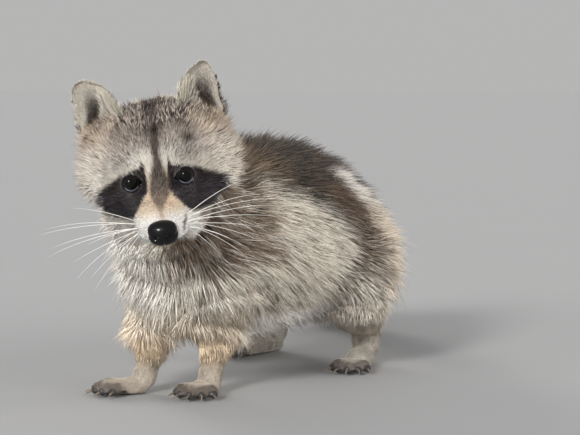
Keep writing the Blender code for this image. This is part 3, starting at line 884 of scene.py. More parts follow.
def grow(coat, chosen, kind, seed):
    """Tufts over the chosen triangles: arrays of points, triangles, map places and attributes."""
    chance = np.random.default_rng(seed)
    corners = coat.triangles[chosen]
    face, shares = scatter(coat, corners, kind, chance)
    count = len(face)

    def at(field):
        picked = field[corners[face]]
        return (picked * shares.reshape(count, 3, *[1] * (picked.ndim - 2))).sum(1)

    root, normal = at(coat.points), unit(at(coat.normals))
    uv = (coat.uv[chosen][face] * shares[:, :, None]).sum(1)
    length, width, lift = at(coat.length), at(coat.width), at(coat.lift)
    way = unit(along_surface(at(coat.way), normal))
    side = np.cross(normal, way)

    # Each hair strays from the lie of the coat, and whole patches stray together.
    stray = chance.normal(0, kind.stray, count)
    stray = stray + 0.20 * ripple(root, 0.035, 5) + 0.13 * ripple(root, 0.012, 6)
    way = way * np.cos(stray)[:, None] + side * np.sin(stray)[:, None]
    side = np.cross(normal, way)
    length = length * kind.length * np.exp(chance.normal(0, LENGTH_SPREAD, count))
    length = length * (1 + 0.14 * ripple(root, 0.02, 7))
    lift = lift * kind.lift + chance.normal(0, LIFT_SPREAD, count) + 5.0 * ripple(root, 0.022, 8)
    start = np.radians(np.clip(lift + CURL[0], 6, 75))
    end = np.radians(np.clip(lift - CURL[1], 2, 60))

    # The middle line bends from its first slope down towards the body.
    rings = kind.rings
    stops = np.linspace(0.0, 1.0, rings + 1)
    line = [root - normal * ROOT_DEPTH]
    for low, high in zip(stops, stops[1:]):
        slope = start + (end - start) * (low + high) / 2
        step = way * np.cos(slope)[:, None] + normal * np.sin(slope)[:, None]
        line.append(line[-1] + step * (length * (high - low))[:, None])
    line = np.stack(line, 1)

    # No hair stands far above the coat.
    rise = ((line - root[:, None]) * normal[:, None]).sum(2)
    most = HAIR_HEIGHT * at(coat.depth) + SPARE_HEIGHT
    over = 1.0 - np.minimum(1.0, most / np.maximum(rise.max(1), 0.1 * MM))
    line -= normal[:, None] * (rise * over[:, None])[:, :, None]

    # Neighbours lean together into locks.
    for size, pull in LOCK_PULLS:
        lean = along_surface((locks(root, kind.lock * size, seed + LOCK_SEED) - root) * pull, normal)
        line += lean[:, None, :] * (stops**1.4)[None, :, None]

    # Each ring is a flat triangle with its ridge outward.
    up = np.cross(line[:, -1] - line[:, 0], side)
    up = unit(up) * np.sign((up * normal).sum(1, keepdims=True))
    width = width * kind.width * np.exp(chance.normal(0, WIDTH_SPREAD, count))
    profile = np.interp(stops[:-1], *HAIR_PROFILE)
    rows = []
    for k in range(rings):
        half = side * (width * profile[k] / 2)[:, None]
        high = up * (width * profile[k] * HAIR_RIDGE)[:, None]
        rows += [line[:, k] - half, line[:, k] + half, line[:, k] + high]
    rows.append(line[:, -1])
    points = np.stack(rows, 1)
    points[:, :, 2] = np.maximum(points[:, :, 2], FLOOR_GAP)
    reach = np.maximum(np.abs(points[:, :, 0]) - FULL_WIDTH, 0)
    points[:, :, 0] -= np.sign(points[:, :, 0]) * reach * LAID_FLAT
    per, faces = 3 * rings + 1, tuft_faces(rings)
    triangles = (np.arange(count)[:, None, None] * per + faces[None]).reshape(-1, 3)

    # Each point's share along the hair, a number of luck for each hair, and how far across it the point is.
    along = np.repeat(np.append(np.repeat(stops[:-1], 3), 1.0)[None], count, 0)
    luck = np.repeat(chance.uniform(0, 1, count)[:, None], per, 1)
    across = np.repeat(np.append(np.tile((-1.0, 1.0, 0.0), rings), 0.0)[None], count, 0)
    patch = np.stack([np.tile((-0.5, 0.5, 0.0), rings), np.repeat(stops[:-1] - 0.5, 3)], 1)
    patch = np.vstack([patch, (0.0, 0.5)]) * PATCH
    uv = np.clip(uv, 0.002, 0.998)
    extra = np.stack([at(coat.tail), at(coat.foot), np.full(count, kind.guard)], 1)

    def spread(values):
        return np.repeat(values[:, None], per, 1).reshape(-1, 3)

    return {
        "points": points.reshape(-1, 3),
        "triangles": triangles,
        "uv": (uv[:, None, :] + patch[None]).reshape(-1, 2),
        "place": spread(root + (line[:, -1] - line[:, 0]) * PLACE_SHARE),
        "strand": np.stack([along, luck, across], 2).reshape(-1, 3),
        "parts": spread(at(coat.parts)),
        "extra": spread(extra),
        "ear": spread(at(coat.ear)),
        "per": per,
        "faces": len(faces),
        "count": count,
    }


ATTRIBUTES = ("place", "strand", "parts", "extra", "ear")


def add_coat(name, grown, material):
    """Coat pieces from grown tufts, none over PIECE_TRIANGLES."""
    most = PIECE_TRIANGLES // grown["faces"]
    pieces = max(1, math.ceil(grown["count"] / most))
    for number in range(pieces):
        first = grown["count"] * number // pieces
        last = grown["count"] * (number + 1) // pieces
        verts = slice(first * grown["per"], last * grown["per"])
        tris = grown["triangles"][first * grown["faces"] : last * grown["faces"]] - first * grown["per"]
        piece_name = f"{name}_{number + 1}" if pieces > 1 else name
        mesh = mesh_from(piece_name, grown["points"][verts], tris)
        layer = mesh.uv_layers.new(name="OFBake")
        layer.uv.foreach_set("vector", grown["uv"][verts][tris.ravel()].astype(np.float32).ravel())
        for field in ATTRIBUTES:
            add_attribute(mesh, field, grown[field][verts])
        add_piece(piece_name, mesh, material, "coat")


# A kind of tuft: its share of the density, its length, width and lift as shares of the region's, how far it
# strays in radians, its rings, the size of its locks in metres, how much of a guard hair it is (0 for the
# undercoat), and the span of coat lengths, in millimetres, that it grows in.
Tuft = namedtuple("Tuft", "share length width lift stray rings lock guard span")
UNDERCOAT = Tuft(0.33, 0.62, 1.60, 0.95, 0.20, 1, 0.0060, 0.0, (9, 99))
GUARD_HAIR = Tuft(0.60, 1.00, 0.86, 1.00, 0.13, 2, 0.0058, 1.0, (9, 99))
LONG_HAIR = Tuft(0.035, 1.12, 0.55, 1.10, 0.22, 3, 0.0100, 1.0, (14, 99))
SHORT_HAIR = Tuft(1.95, 1.00, 0.78, 1.00, 0.16, 1, 0.0030, 0.7, (0, 9))
CHEEK_HAIR = Tuft(0.95, 1.00, 0.98, 1.00, 0.15, 2, 0.0038, 0.8, (9, 99))
LAYERS = {"under": UNDERCOAT, "guard": GUARD_HAIR, "long": LONG_HAIR}
SHORT_LAYERS = {"short": SHORT_HAIR, "cheek": CHEEK_HAIR}

COATS = {
    "face_coat": (("head", "ear"), SHORT_LAYERS),
    "neck_coat": (("neck",), LAYERS),
    "trunk_coat": (("trunk",), LAYERS),
    "foreleg_coat": (("upper_foreleg", "forearm", "forefoot"), SHORT_LAYERS),
    "hindleg_coat": (("thigh", "shank", "hindfoot"), {"short": SHORT_HAIR, **LAYERS}),
    "tail_coat": (("tail",), LAYERS),
}


def grow_coats(coat, material):
    """The whole coat, region by region."""
    face_region = coat.region[coat.triangles[:, 0]]
    for number, (name, (regions, layers)) in enumerate(COATS.items()):
        chosen = np.isin(face_region, regions)
        for step, (layer, kind) in enumerate(layers.items()):
            grown = grow(coat, chosen, kind, RANDOM_SEED + 10 * number + step)
            add_coat(f"{name}_{layer}", grown, material)


# ---------------------------------------------------------------- shader maths
class Value:
    """A number or a vector in a material, on which plain operators add nodes."""

    def __init__(self, paint, socket):
        self.paint, self.socket = paint, socket

    def maths(self, operation, *others):
        return self.paint.node("ShaderNodeMath", {"operation": operation}, (self, *others))

    def __add__(self, other):
        return self.maths("ADD", other)

    def __mul__(self, other):
        return self.maths("MULTIPLY", other)

    def __sub__(self, other):
        return self.maths("SUBTRACT", other)

    def __rsub__(self, other):
        return self.paint.node("ShaderNodeMath", {"operation": "SUBTRACT"}, (other, self))

    __radd__, __rmul__ = __add__, __mul__

    def size(self):
        return self.maths("ABSOLUTE")

    def sine(self):
        return self.maths("SINE")

    def least(self, other):
        return self.maths("MINIMUM", other)

    def most(self, other):
        return self.maths("MAXIMUM", other)

    def ramp(self, low, high):
        """0 at low, 1 at high and smooth between."""
        smooth = {"interpolation_type": "SMOOTHSTEP"}
        return self.paint.node("ShaderNodeMapRange", smooth, (self, low, high))

    def bump(self, at, wide):
        """1 at a value, falling smoothly to 0 that far from it."""
        return (self - at).size().ramp(wide, 0.0)

    def vector(self, operation, other, output=0):
        return self.paint.node("ShaderNodeVectorMath", {"operation": operation}, (self, other), output)

    def along(self, direction):
        """A vector's reach along a direction."""
        return self.vector("DOT_PRODUCT", direction, 1)


class Paint:
    """A material being put together."""

    def __init__(self, name):
        self.material = bpy.data.materials.new(name)
        self.material.use_nodes = True
        self.tree = self.material.node_tree
        self.shader = self.tree.nodes["Principled BSDF"]

    def node(self, kind, settings, inputs, output=0):
        """Adds any node: its type, its settings, its inputs by order or by name."""
        made = self.tree.nodes.new(kind)
        for key, value in settings.items():
            setattr(made, key, value)
        pairs = inputs.items() if isinstance(inputs, dict) else enumerate(inputs)
        for key, value in pairs:
            self.feed(made.inputs[key], value)
        return Value(self, made.outputs[output])

    def feed(self, socket, value):
        """Links a value to a socket, or sets a plain one."""
        if isinstance(value, Value):
            self.tree.links.new(value.socket, socket)
        elif isinstance(value, (tuple, list)) and len(value) == 3 and len(socket.default_value) == 4:
            socket.default_value = (*value, 1.0)
        else:
            socket.default_value = value

    def read(self, name):
        """A vector stored on the mesh."""
        return self.node("ShaderNodeAttribute", {"attribute_name": name}, (), 1)

    def split(self, vector):
        """A vector's three numbers."""
        parted = self.node("ShaderNodeSeparateXYZ", {}, (vector,))
        return [Value(self, socket) for socket in parted.socket.node.outputs]

    def read_parts(self, name):
        """The three numbers of a vector stored on the mesh."""
        return self.split(self.read(name))

    def own_place(self):
        """Where the surface is, on its object's axes."""
        return self.node("ShaderNodeTexCoord", {}, (), 3)

    def mix(self, share, one, other):
        """One colour passing into another."""
        return self.node("ShaderNodeMix", {"data_type": "RGBA"}, {0: share, 6: one, 7: other}, 2)

    def drawn_out(self, place, way, share):
        """A place squeezed along a direction, so that noise there is drawn out along it."""
        return place.vector("ADD", self.scaled(way, place.along(way) * -share))

    def scaled(self, vector, size):
        """A vector or a colour, times a number."""
        return self.node("ShaderNodeVectorMath", {"operation": "SCALE"}, {0: vector, 3: size})

    def noise(self, place, scale, detail=2.0, rough=0.5):
        """Soft noise from 0 to 1, about 0.5 in the middle."""
        inputs = {"Vector": place, "Scale": scale, "Detail": detail, "Roughness": rough}
        return self.node("ShaderNodeTexNoise", {}, inputs)

    def raised(self, height, strength, distance, invert=False):
        """A surface that looks raised where height is large."""
        inputs = {"Strength": strength, "Distance": distance, "Height": height}
        return self.node("ShaderNodeBump", {"invert": invert}, inputs)

    def finish(self, **inputs):
        """Sets the surface shader's inputs, named with underscores for spaces."""
        for name, value in inputs.items():
            self.feed(self.shader.inputs[name.replace("_", " ")], value)
        return self.material


# ---------------------------------------------------------------- finishes
CREAM = (0.81, 0.74, 0.635)
WHITE_FUR = (0.92, 0.89, 0.83)
FLANK_GREY = (0.74, 0.695, 0.615)
FLANK_CREAM = (0.90, 0.83, 0.72)
PALE_GREY = (0.66, 0.62, 0.55)
MID_GREY = (0.27, 0.235, 0.21)
DARK_FUR = (0.017, 0.0135, 0.0135)
MASK_FUR = (0.009, 0.0075, 0.008)
BROWN_FUR = (0.17, 0.115, 0.078)
SADDLE_BROWN = (0.22, 0.160, 0.110)
SADDLE_TIP = (0.40, 0.31, 0.22)
FOLD_SHADE_BROWN = (0.155, 0.110, 0.080)
BAND_CREAM_RIM_LIT = (0.74, 0.65, 0.54)
TAN_FUR = (0.90, 0.72, 0.51)
OCHRE_FUR = (0.80, 0.58, 0.36)
CROWN_DARK = (0.060, 0.044, 0.042)
CROWN_PALE = (0.72, 0.62, 0.53)
MUZZLE_WHITE = (0.99, 0.97, 0.92)
MASK_SHEEN = (0.085, 0.086, 0.108)
STRIPE_BROWN = (0.23, 0.170, 0.140)
LIP_BROWN = (0.42, 0.29, 0.20)
BROW_CREAM = (0.96, 0.90, 0.80)
WRIST_GREY = (0.54, 0.49, 0.42)
EAR_HOLLOW_SHADE = (0.018, 0.013, 0.010)
EAR_PALE = (0.62, 0.575, 0.485)
FOOT_DARK = (0.085, 0.068, 0.058)
SKIN_DARK = (0.019, 0.016, 0.017)
SKIN_WORN = (0.038, 0.031, 0.029)
WET_SKIN = (0.012, 0.011, 0.012)
TAIL_RINGS = 5.6
WANDER_SCALE, FLECK_SCALE, STREAK_SCALE = 48.0, 420.0, 215.0  # of the noise that breaks up the markings
STREAK_WAY, STREAK_PULL = (0.0, 0.85, -0.53), 0.74  # streaks are drawn out along the flank's hair


class Hair:
    """What the mesh says of the hair at a point, and the noise that breaks up its markings."""

    def __init__(self, paint):
        self.place = paint.read("place")  # in metres, in the row frame
        self.x, self.y, self.z = paint.split(self.place)
        self.along, self.luck, self.across = paint.read_parts("strand")
        self.is_head, self.is_ear, self.is_leg = paint.read_parts("parts")
        self.tail, self.is_foot, self.is_guard = paint.read_parts("extra")
        self.wander = paint.noise(self.place, WANDER_SCALE, 3.0, 0.6) - 0.5
        self.fleck = paint.noise(self.place, FLECK_SCALE, 2.0, 0.6) - 0.5
        drawn = paint.drawn_out(self.place, STREAK_WAY, STREAK_PULL)
        self.streak = paint.noise(drawn, STREAK_SCALE, 2.0, 0.55)


def flank_colour(paint, hair):
    """The flank: pale, warm towards the shoulder, with brown streaks; and how far a hair is on the chest."""
    mix, x, y, z, wander = paint.mix, hair.x, hair.y, hair.z, hair.wander
    shoulder = x.ramp(0.020, 0.060).most(x.ramp(-0.020, -0.055))
    shoulder = shoulder * y.ramp(-0.120, -0.175) * z.ramp(0.10, 0.13)
    pale = mix((wander * 2.0 + 0.5).ramp(0.1, 0.9), FLANK_GREY, FLANK_CREAM)
    low = z.ramp(0.115, 0.070) * y.ramp(-0.200, -0.165)
    # The chest: pale fur, painted whitest on the animal's right, the side where light falls.
    chest = y.ramp(-0.195, -0.225) * x.ramp(0.040, 0.005) * z.ramp(0.180, 0.150)
    brown = (hair.streak + shoulder * 0.21 + low * 0.10 - chest * 0.16 + wander * 0.35).ramp(0.56, 0.70)
    body = mix(brown * 0.90, pale, BROWN_FUR)
    # Painted shade: brown on the throat just under the chin, where the head shades it.
    throat = (x - 0.064).bump(0.0, 0.040) * (z - 0.135).bump(0.0, 0.050) * y.ramp(-0.195, -0.225)
    body = mix(throat * (0.60 + wander), body, BROWN_FUR)
    body = mix(chest * (0.80 + wander), body, WHITE_FUR)
    # White along the belly's lower edge: pale fur, and a painted rim highlight.
    body = mix(z.ramp(0.078, 0.060) * y.ramp(-0.19, -0.15), body, WHITE_FUR)
    return body, chest


def back_colour(paint, hair, body):
    """The back: a dark saddle, browner in front; and how far a hair is on the saddle."""
    mix, y, z, luck, wander = paint.mix, hair.y, hair.z, hair.luck, hair.wander
    edge = 0.1345 - 0.40 * y + (-0.155 - y).most(0.0) * -0.10 + 0.030 * wander + 0.014 * hair.fleck
    edge = edge + 0.016 * (luck - 0.5)
    saddle = (z - edge).ramp(-0.010, 0.014) * y.ramp(-0.270, -0.200)
    front = saddle * y.ramp(-0.085, -0.135)
    nape = saddle * y.ramp(-0.150, -0.190)
    body = mix(saddle * 0.94, body, DARK_FUR)
    body = mix(front * (0.76 + 1.1 * wander), body, SADDLE_BROWN)
    nape = nape * (luck + wander).ramp(0.25, 0.65) * 0.75
    body = mix(nape, body, mix(luck, PALE_GREY, TAN_FUR))
    return body, saddle


def hip_colour(paint, hair, body, saddle):
    """The hip: a fold before the thigh painted brown as shade, a cream band behind it that is partly pale
    fur and partly painted rim light, and a grizzled rump.
    """
    mix, x, y, z, luck, wander, fleck = paint.mix, hair.x, hair.y, hair.z, hair.luck, hair.wander, hair.fleck
    flank_side = (x - 0.018).size().ramp(0.037, 0.062)  # the trunk bends to the left of the middle
    crest = (z - 0.158).most(0.0)
    course = y - 0.050 + 1.25 * crest + (0.158 - z).most(0.0) * 0.35 + 0.010 * fleck + 0.014 * (luck - 0.5)
    # Painted shade: the fold before the thigh is painted brown, as its shadow.
    before = (z - 0.114).most(0.0)
    fold = (y + 0.020 + 11.0 * before * before + 0.012 * fleck + 0.016 * (luck - 0.5)).ramp(-0.007, 0.007)
    fold = fold * course.ramp(-0.011, -0.023) * z.ramp(0.070, 0.105) * z.ramp(0.192, 0.176)
    grizzle = (luck + hair.streak).ramp(1.20, 1.45) * 0.5
    body = mix(fold * flank_side * (0.82 - grizzle + 0.5 * wander), body, FOLD_SHADE_BROWN)
    rump = course.ramp(0.008, 0.018) * z.ramp(0.182, 0.166) * flank_side
    grizzle = mix((luck + wander).ramp(0.3, 0.7), MID_GREY, CREAM)
    body = mix(rump * 0.85, body, grizzle)
    # The band behind the fold: pale fur, and painted rim light, whiter towards the top.
    band = (0.019 - course.size()).ramp(-0.007, 0.006) * z.ramp(0.055, 0.08) * z.ramp(0.203, 0.192)
    body = mix(band * flank_side * 0.92, body, mix(z.ramp(0.14, 0.18), BAND_CREAM_RIM_LIT, WHITE_FUR))
    behind = y.ramp(0.055, 0.085) * (1 - saddle)
    return mix(behind * (0.55 + wander), body, MID_GREY)


def leg_colour(paint, hair, body):
    """The legs: pale to tan in front, grey at the wrist; the hind legs are darker."""
    mix, y, z, streak, wander = paint.mix, hair.y, hair.z, hair.streak, hair.wander
    fore = mix(z.ramp(0.085, 0.060) * 0.85, CREAM, TAN_FUR)
    fore = mix(z.ramp(0.034, 0.020) * 0.8, fore, WRIST_GREY)
    fore = mix((streak + 0.1 * wander).ramp(0.56, 0.70) * 0.2, fore, BROWN_FUR)
    fringe = z.ramp(0.098, 0.068) * y.ramp(-0.160, -0.190)
    body = mix(fringe * 0.50, body, fore)
    hind = mix(z.ramp(0.05, 0.09), CREAM, PALE_GREY)
    hind = mix((streak + 0.2 * wander).ramp(0.45, 0.68) * 0.45, hind, BROWN_FUR)
    hind = mix(z.ramp(0.030, 0.014) * 0.6, hind, PALE_GREY)
    toes = hair.is_foot.ramp(0.9, 1.8) * (0.55 + hair.luck * 0.45)
    fore = mix(toes, fore, FOOT_DARK)
    hind = mix(toes, hind, FOOT_DARK)
    return mix(hair.is_leg.ramp(0.15, 0.75), body, mix(y.ramp(-0.12, -0.10), fore, hind))


def tail_colour(paint, hair, body):
    """The tail: dark rings on grey-buff, and a dark tip."""
    mix, tail = paint.mix, hair.tail
    beat = (tail + 0.012 * hair.wander) * (2 * math.pi * TAIL_RINGS)
    rings = beat.sine().ramp(-0.15, 0.45).most(tail.ramp(0.85, 0.91))
    brush = mix(0.62, TAN_FUR, MID_GREY)
    return mix(tail.ramp(-0.3, 0.0), body, mix(rings, brush, DARK_FUR))


def pelt_colour(paint):
    """The markings, with painted shade and light, from where each hair shows, so that skin and coat agree.
    """
    hair, mix = Hair(paint), paint.mix
    along, luck, head_or_ear = hair.along, hair.luck, hair.is_head.most(hair.is_ear)
    body, chest = flank_colour(paint, hair)
    body, saddle = back_colour(paint, hair, body)
    body = hip_colour(paint, hair, body, saddle)
    body = leg_colour(paint, hair, body)
    body = tail_colour(paint, hair, body)
    colour = mix(hair.is_head.ramp(0.35, 0.65), body, face_colour(paint, hair, body))
    colour = mix(hair.is_ear.ramp(0.3, 0.7), colour, ear_colour(paint, luck))

    # The undercoat is darker and browner; a hair is painted darker towards its root, as shade deep in the
    # coat, and no two are quite alike.
    colour = mix((1 - hair.is_guard) * (0.18 - 0.14 * chest), colour, BROWN_FUR)
    pale_tip = along.ramp(0.40, 0.80) * luck.ramp(0.68, 0.86)
    pale_tip = pale_tip * (0.14 + 0.20 * saddle) * hair.is_guard * (1 - head_or_ear)
    colour = mix(pale_tip, colour, mix(saddle, PALE_GREY, SADDLE_TIP))
    dark_hair = luck.ramp(0.14, 0.06) * along.ramp(0.1, 0.5)
    colour = mix(dark_hair * 0.45, colour, BROWN_FUR)
    # Painted shade deep in the coat: roots darkest, less so on the head, ears, legs and chest.
    short = head_or_ear.most(hair.is_leg).most(chest) * 0.36
    depth = 0.58 + short + (0.42 - short) * along.ramp(0.0, 0.60)
    strands = (hair.across * 9.0 + luck * 40.0).sine()
    return paint.scaled(colour, depth * (0.86 + 0.28 * luck) * (1.0 + 0.10 * strands))


def face_colour(paint, hair, body):
    """The face: a dark stripe between the eyes, the mask, pale brows and cheeks, and a white muzzle."""
    mix, luck, wander, fleck = paint.mix, hair.luck, hair.wander, hair.fleck
    from_eyes = hair.place.vector("SUBTRACT", tuple(HEAD_ORIGIN))
    across, back, up = [from_eyes.along(tuple(axis)) * 1000 for axis in HEAD_AXES]  # in millimetres
    side = across.size() + 4.0 * fleck
    high = face_height(back, up) + 3.0 * fleck

    # Crown: dark hairs with pale tips, darker along the middle.
    light = luck + 1.1 * wander + 1.2 * fleck + side.ramp(24, 48) * 0.40 + 0.12
    crown = mix(light.ramp(0.35, 0.75) * hair.along.ramp(0.10, 0.55), CROWN_DARK, CROWN_PALE)
    crown = mix(side.ramp(13, 2) * high.ramp(20, 40) * 0.45, crown, CROWN_DARK)
    inner_brow = side.ramp(20, 12)
    brow_top = 27.0 - side.ramp(10, 26) * 7.0 - side.ramp(6, 0) * 3.0
    brow_top = brow_top + (30.0 - 14.0 * inner_brow) * (luck - 0.5)
    brow = (high - brow_top).ramp(7, -6)
    outer = side.ramp(46, 60) * high.ramp(44, 24) * 0.8
    pale = mix((luck + wander + high.ramp(10, -30) * 0.2).ramp(0.3, 1.0), CREAM, WHITE_FUR)
    pale = mix(inner_brow * 0.9, pale, BROW_CREAM)
    colour = mix(brow.most(outer) * 0.95, crown, pale)
    speck = (luck + fleck).ramp(0.70, 0.95) * side.ramp(16, 34) * high.ramp(-6, 8)
    colour = mix(speck * 0.55, colour, CROWN_DARK)
    ear_foot = (side - 50.0).bump(0, 16) * (high - 44.0).bump(0, 14)
    ear_foot = ear_foot + (side - 36).bump(0, 8) * (high - 52).bump(0, 10)
    colour = mix((ear_foot * (0.55 + wander)).least(0.8), colour, mix(luck, OCHRE_FUR, CREAM))
    colour = mix(side.ramp(34, 50) * high.ramp(16, 2) * (0.10 + 0.12 * luck), colour, MID_GREY)
    nape = back.ramp(28, 50) * side.ramp(36, 54) * high.ramp(-20, 0)
    colour = mix(nape * (0.5 + 1.2 * wander), colour, SADDLE_BROWN)
    spot = (across - 30.0).bump(0.0, 10.0) * (high - 32.0 + (across - 30.0) * 0.1).bump(0.0, 6.0)
    colour = mix(spot * 0.9, colour, DARK_FUR)

    # Cheeks and jaw run into the neck.
    low = high.ramp(-18, -30) * side.ramp(27, 33)
    colour = mix(low * 0.7, colour, body)
    colour = mix(low * (luck + wander).ramp(0.45, 0.75) * 0.5, colour, MID_GREY)
    colour = mix(high.ramp(-50, -58).most(back.ramp(34, 52) * high.ramp(30, 5)), colour, body)

    # Mask: from a spur above the inner corner of the eye, out and down to the cheek.
    top = 11.3 - (side - 18.0).most(0.0) * 0.25 - (side - 31.0).most(0.0) * 0.22
    spur = (side - 11.8).bump(0.0, 2.6) * 6.0
    bottom = -31.2 + (side - 24.0).most(0.0) * 0.18 + (side - 44.0).most(0.0) * 0.16 + 3.0 * wander
    inner = 8.7 + (-8.0 - high).most(0.0) * 0.74 + high.most(0.0) * 0.14
    stray = 3.0 * (luck - 0.5) * side.ramp(16, 30)
    mask = (top + spur - high + stray).ramp(-1.6, 1.6) * (high - bottom + stray).ramp(-2.0, 1.4)
    mask = mask * (side - inner).ramp(-1.2, 1.0) * (side + stray * 2.5).ramp(62.0, 54.0)
    # Painted sheen: bluish-grey flecks on the black mask, most on its lower part.
    shine = (luck + fleck).ramp(0.50, 0.85) * (0.20 + high.ramp(2, -12) * 0.80)
    colour = mix(mask, colour, mix(shine, MASK_FUR, MASK_SHEEN))

    # Muzzle: white, warm towards the bridge.
    muzzle = (inner - side).ramp(-1.0, 1.0) * high.ramp(-4.0, -12.0) * high.ramp(-57, -52)
    muzzle = muzzle * side.ramp(30, 27)
    warm = side.ramp(28, 20) * high.ramp(-36, -20) * (0.55 + 0.40 * luck + 0.6 * wander)
    colour = mix(muzzle, colour, mix(warm, MUZZLE_WHITE, OCHRE_FUR))
    under = (across - 1.5).bump(0, 6) * (high + 31).bump(0, 9) * (0.3 + luck) * 0.7
    colour = mix(under, colour, LIP_BROWN)
    band = side.ramp(4, 7) * side.ramp(13, 10) * high.ramp(14, 2) * high.ramp(-22, -10) * (1 - mask)
    colour = mix(band * 0.45, colour, OCHRE_FUR)

    # Stripe: narrow on the forehead, wide on the bridge, where it fades out.
    middling = (across - 1.5).size() + 5.0 * fleck
    half = (3.0 + (22.0 - high).most(0.0) * 0.22).least(8.8) - (-12.0 - high).most(0.0) * 0.50
    half = half - high.ramp(30, 60) * 1.6 + 3.0 * (luck - 0.5)
    stripe = (half - middling).ramp(-1.4, 1.8) * (high + 8.0 * fleck).ramp(-34, -20)
    stripe = stripe * (1 - 0.45 * high.ramp(40, 60))
    stripe = stripe * (1 - 0.40 * high.ramp(-4, -20) * luck.ramp(0.3, 0.8))
    shade = (luck + wander + fleck + high.ramp(10, -20) * 0.2).ramp(0.35, 0.85)
    colour = mix(stripe * 0.93, colour, mix(shade, MASK_FUR, STRIPE_BROWN))

    # The lips' edge: dark beneath the nose, and a fine dark line beside it on the left side.
    lip = (side - 9.4).bump(0, 1.8) * (high + 46.0).bump(0, 6.0)
    crease = (across - 20.0 - (high + 38.0) * 0.25 + 2.0 * fleck).bump(0, 1.4)
    crease = crease * (high + 39.0).bump(0, 9.0) * back.ramp(-10, -22)
    return mix(lip.most(crease * 2.0).least(0.92), colour, DARK_FUR)


def ear_colour(paint, luck):
    """The ears: white rims, pale hair before a hollow painted dark as shade, dark fur behind."""
    mix = paint.mix
    rim, facing, height = paint.read_parts("ear")
    # Painted shade: dark deep in the cup, away from the rim and lower down.
    hollow = (rim.ramp(0.78, 0.16) * height.ramp(0.92, 0.26) + (luck - 0.5) * 0.75).ramp(0.10, 0.80)
    grey = mix(height.ramp(0.62, 0.86).most(luck), PALE_GREY, CREAM)
    front = mix(hollow, grey, EAR_HOLLOW_SHADE)
    front = mix(height.ramp(0.24, 0.02) * 0.60, front, OCHRE_FUR)
    front = mix(rim.ramp(0.46, 0.72), front, EAR_PALE)
    back = mix(rim.ramp(0.78, 0.92).most(height.ramp(0.72, 0.86)), DARK_FUR, EAR_PALE)
    return mix(facing.ramp(-0.55, -0.25), back, front)


def coat_material():
    """The hair of the coat."""
    paint = Paint("coat")
    colour = pelt_colour(paint)
    return paint.finish(Base_Color=colour, Roughness=0.55, Specular_IOR_Level=0.09)


def skin_material():
    """The skin: the coat's markings, darker, with bare dark skin at lids, lips and feet."""
    paint = Paint("skin")
    mix = paint.mix
    colour = pelt_colour(paint)
    bare, wet, _ = paint.read_parts("bare")
    grain = paint.noise(paint.own_place(), 900.0, 3.0, 0.6)
    dark = mix(grain, SKIN_DARK, SKIN_WORN)
    colour = mix(0.45, colour, dark)
    colour = mix(bare, colour, dark)
    colour = mix(wet, colour, WET_SKIN)
    rough = 0.62 - 0.20 * bare - 0.22 * wet
    return paint.finish(Base_Color=colour, Roughness=rough, Normal=paint.raised(grain, 0.35, 0.0004))


def eye_material():
    """A nearly black eye under a wet surface, with a thin ring at the lids' edge that is painted pale, as a
    reflection, where it meets the lower lid.
    """
    paint = Paint("eye")
    mix = paint.mix
    slope = paint.read_parts("sight")[0]
    streak = paint.noise(paint.read("spoke"), 6.0, 3.0, 0.6)
    iris = mix(streak, (0.004, 0.0025, 0.002), (0.010, 0.006, 0.004))
    colour = mix(slope.ramp(33, 29), iris, (0.002, 0.002, 0.002))
    # Painted reflection: the ring is pale and bluish along its lower side, dark elsewhere.
    low = paint.read_parts("spoke")[1].ramp(-0.25, -0.85)
    ring = mix(low, (0.008, 0.008, 0.010), (0.20, 0.22, 0.27))
    colour = mix(slope.ramp(46.5, 49.0), colour, ring)
    colour = mix(slope.ramp(54.0, 60.0), colour, WET_SKIN)
    wet = {"Coat_Weight": 1.0, "Coat_IOR": 1.24, "Coat_Roughness": 0.02}
    return paint.finish(Base_Color=colour, Roughness=0.15, IOR=1.12, **wet)


def nose_material():
    """Moist black skin with a fine pebble."""
    paint = Paint("nose")
    pebble = paint.node("ShaderNodeTexVoronoi", {}, {"Vector": paint.own_place(), "Scale": 1300.0})
    colour = paint.mix(pebble.ramp(0.0, 0.6), (0.0020, 0.0018, 0.0018), (0.0050, 0.0042, 0.0042))
    wet = {"Coat_Weight": 0.28, "Coat_Roughness": 0.12}
    bump = paint.raised(pebble, 0.22, 0.0002, invert=True)
    return paint.finish(Base_Color=colour, Roughness=0.34, IOR=1.18, Normal=bump, **wet)


def claw_material():
    """Worn horn, streaked dark and pale."""
    paint = Paint("claw")
    streak = paint.noise(paint.own_place(), 700.0, 3.0, 0.6)
    colour = paint.mix(streak.ramp(0.3, 0.7), (0.10, 0.075, 0.055), (0.26, 0.21, 0.16))
    return paint.finish(Base_Color=colour, Roughness=0.38, Normal=paint.raised(streak, 0.3, 0.0002))


def whisker_material():
    """Stiff pale whiskers."""
    paint = Paint("whisker")
    colour = paint.mix(paint.noise(paint.own_place(), 90.0), (0.88, 0.86, 0.82), (0.70, 0.66, 0.60))
    return paint.finish(Base_Color=colour, Roughness=0.35)


def floor_material():
    """A plain pale floor."""
    paint = Paint("floor")
    colour = paint.mix(paint.noise(paint.own_place(), 3.0), (0.352, 0.349, 0.345), (0.362, 0.359, 0.355))
    return paint.finish(Base_Color=colour, Roughness=0.7)


# ---------------------------------------------------------------- eyes, nose, claws, whiskers
def round_mesh(name, columns, rows, shape):
    """A closed ball-like mesh; shape() turns unit directions into places, with +Z at its pole."""
    whole = building()
    bmesh.ops.create_uvsphere(whole, u_segments=columns, v_segments=rows, radius=1.0)
    bmesh.ops.triangulate(whole, faces=whole.faces)
    mesh = built(whole, bpy.data.meshes.new(name))
    directions = points_of(mesh)
    put_points(mesh, shape(directions))
    mesh.shade_smooth()
    return mesh, directions


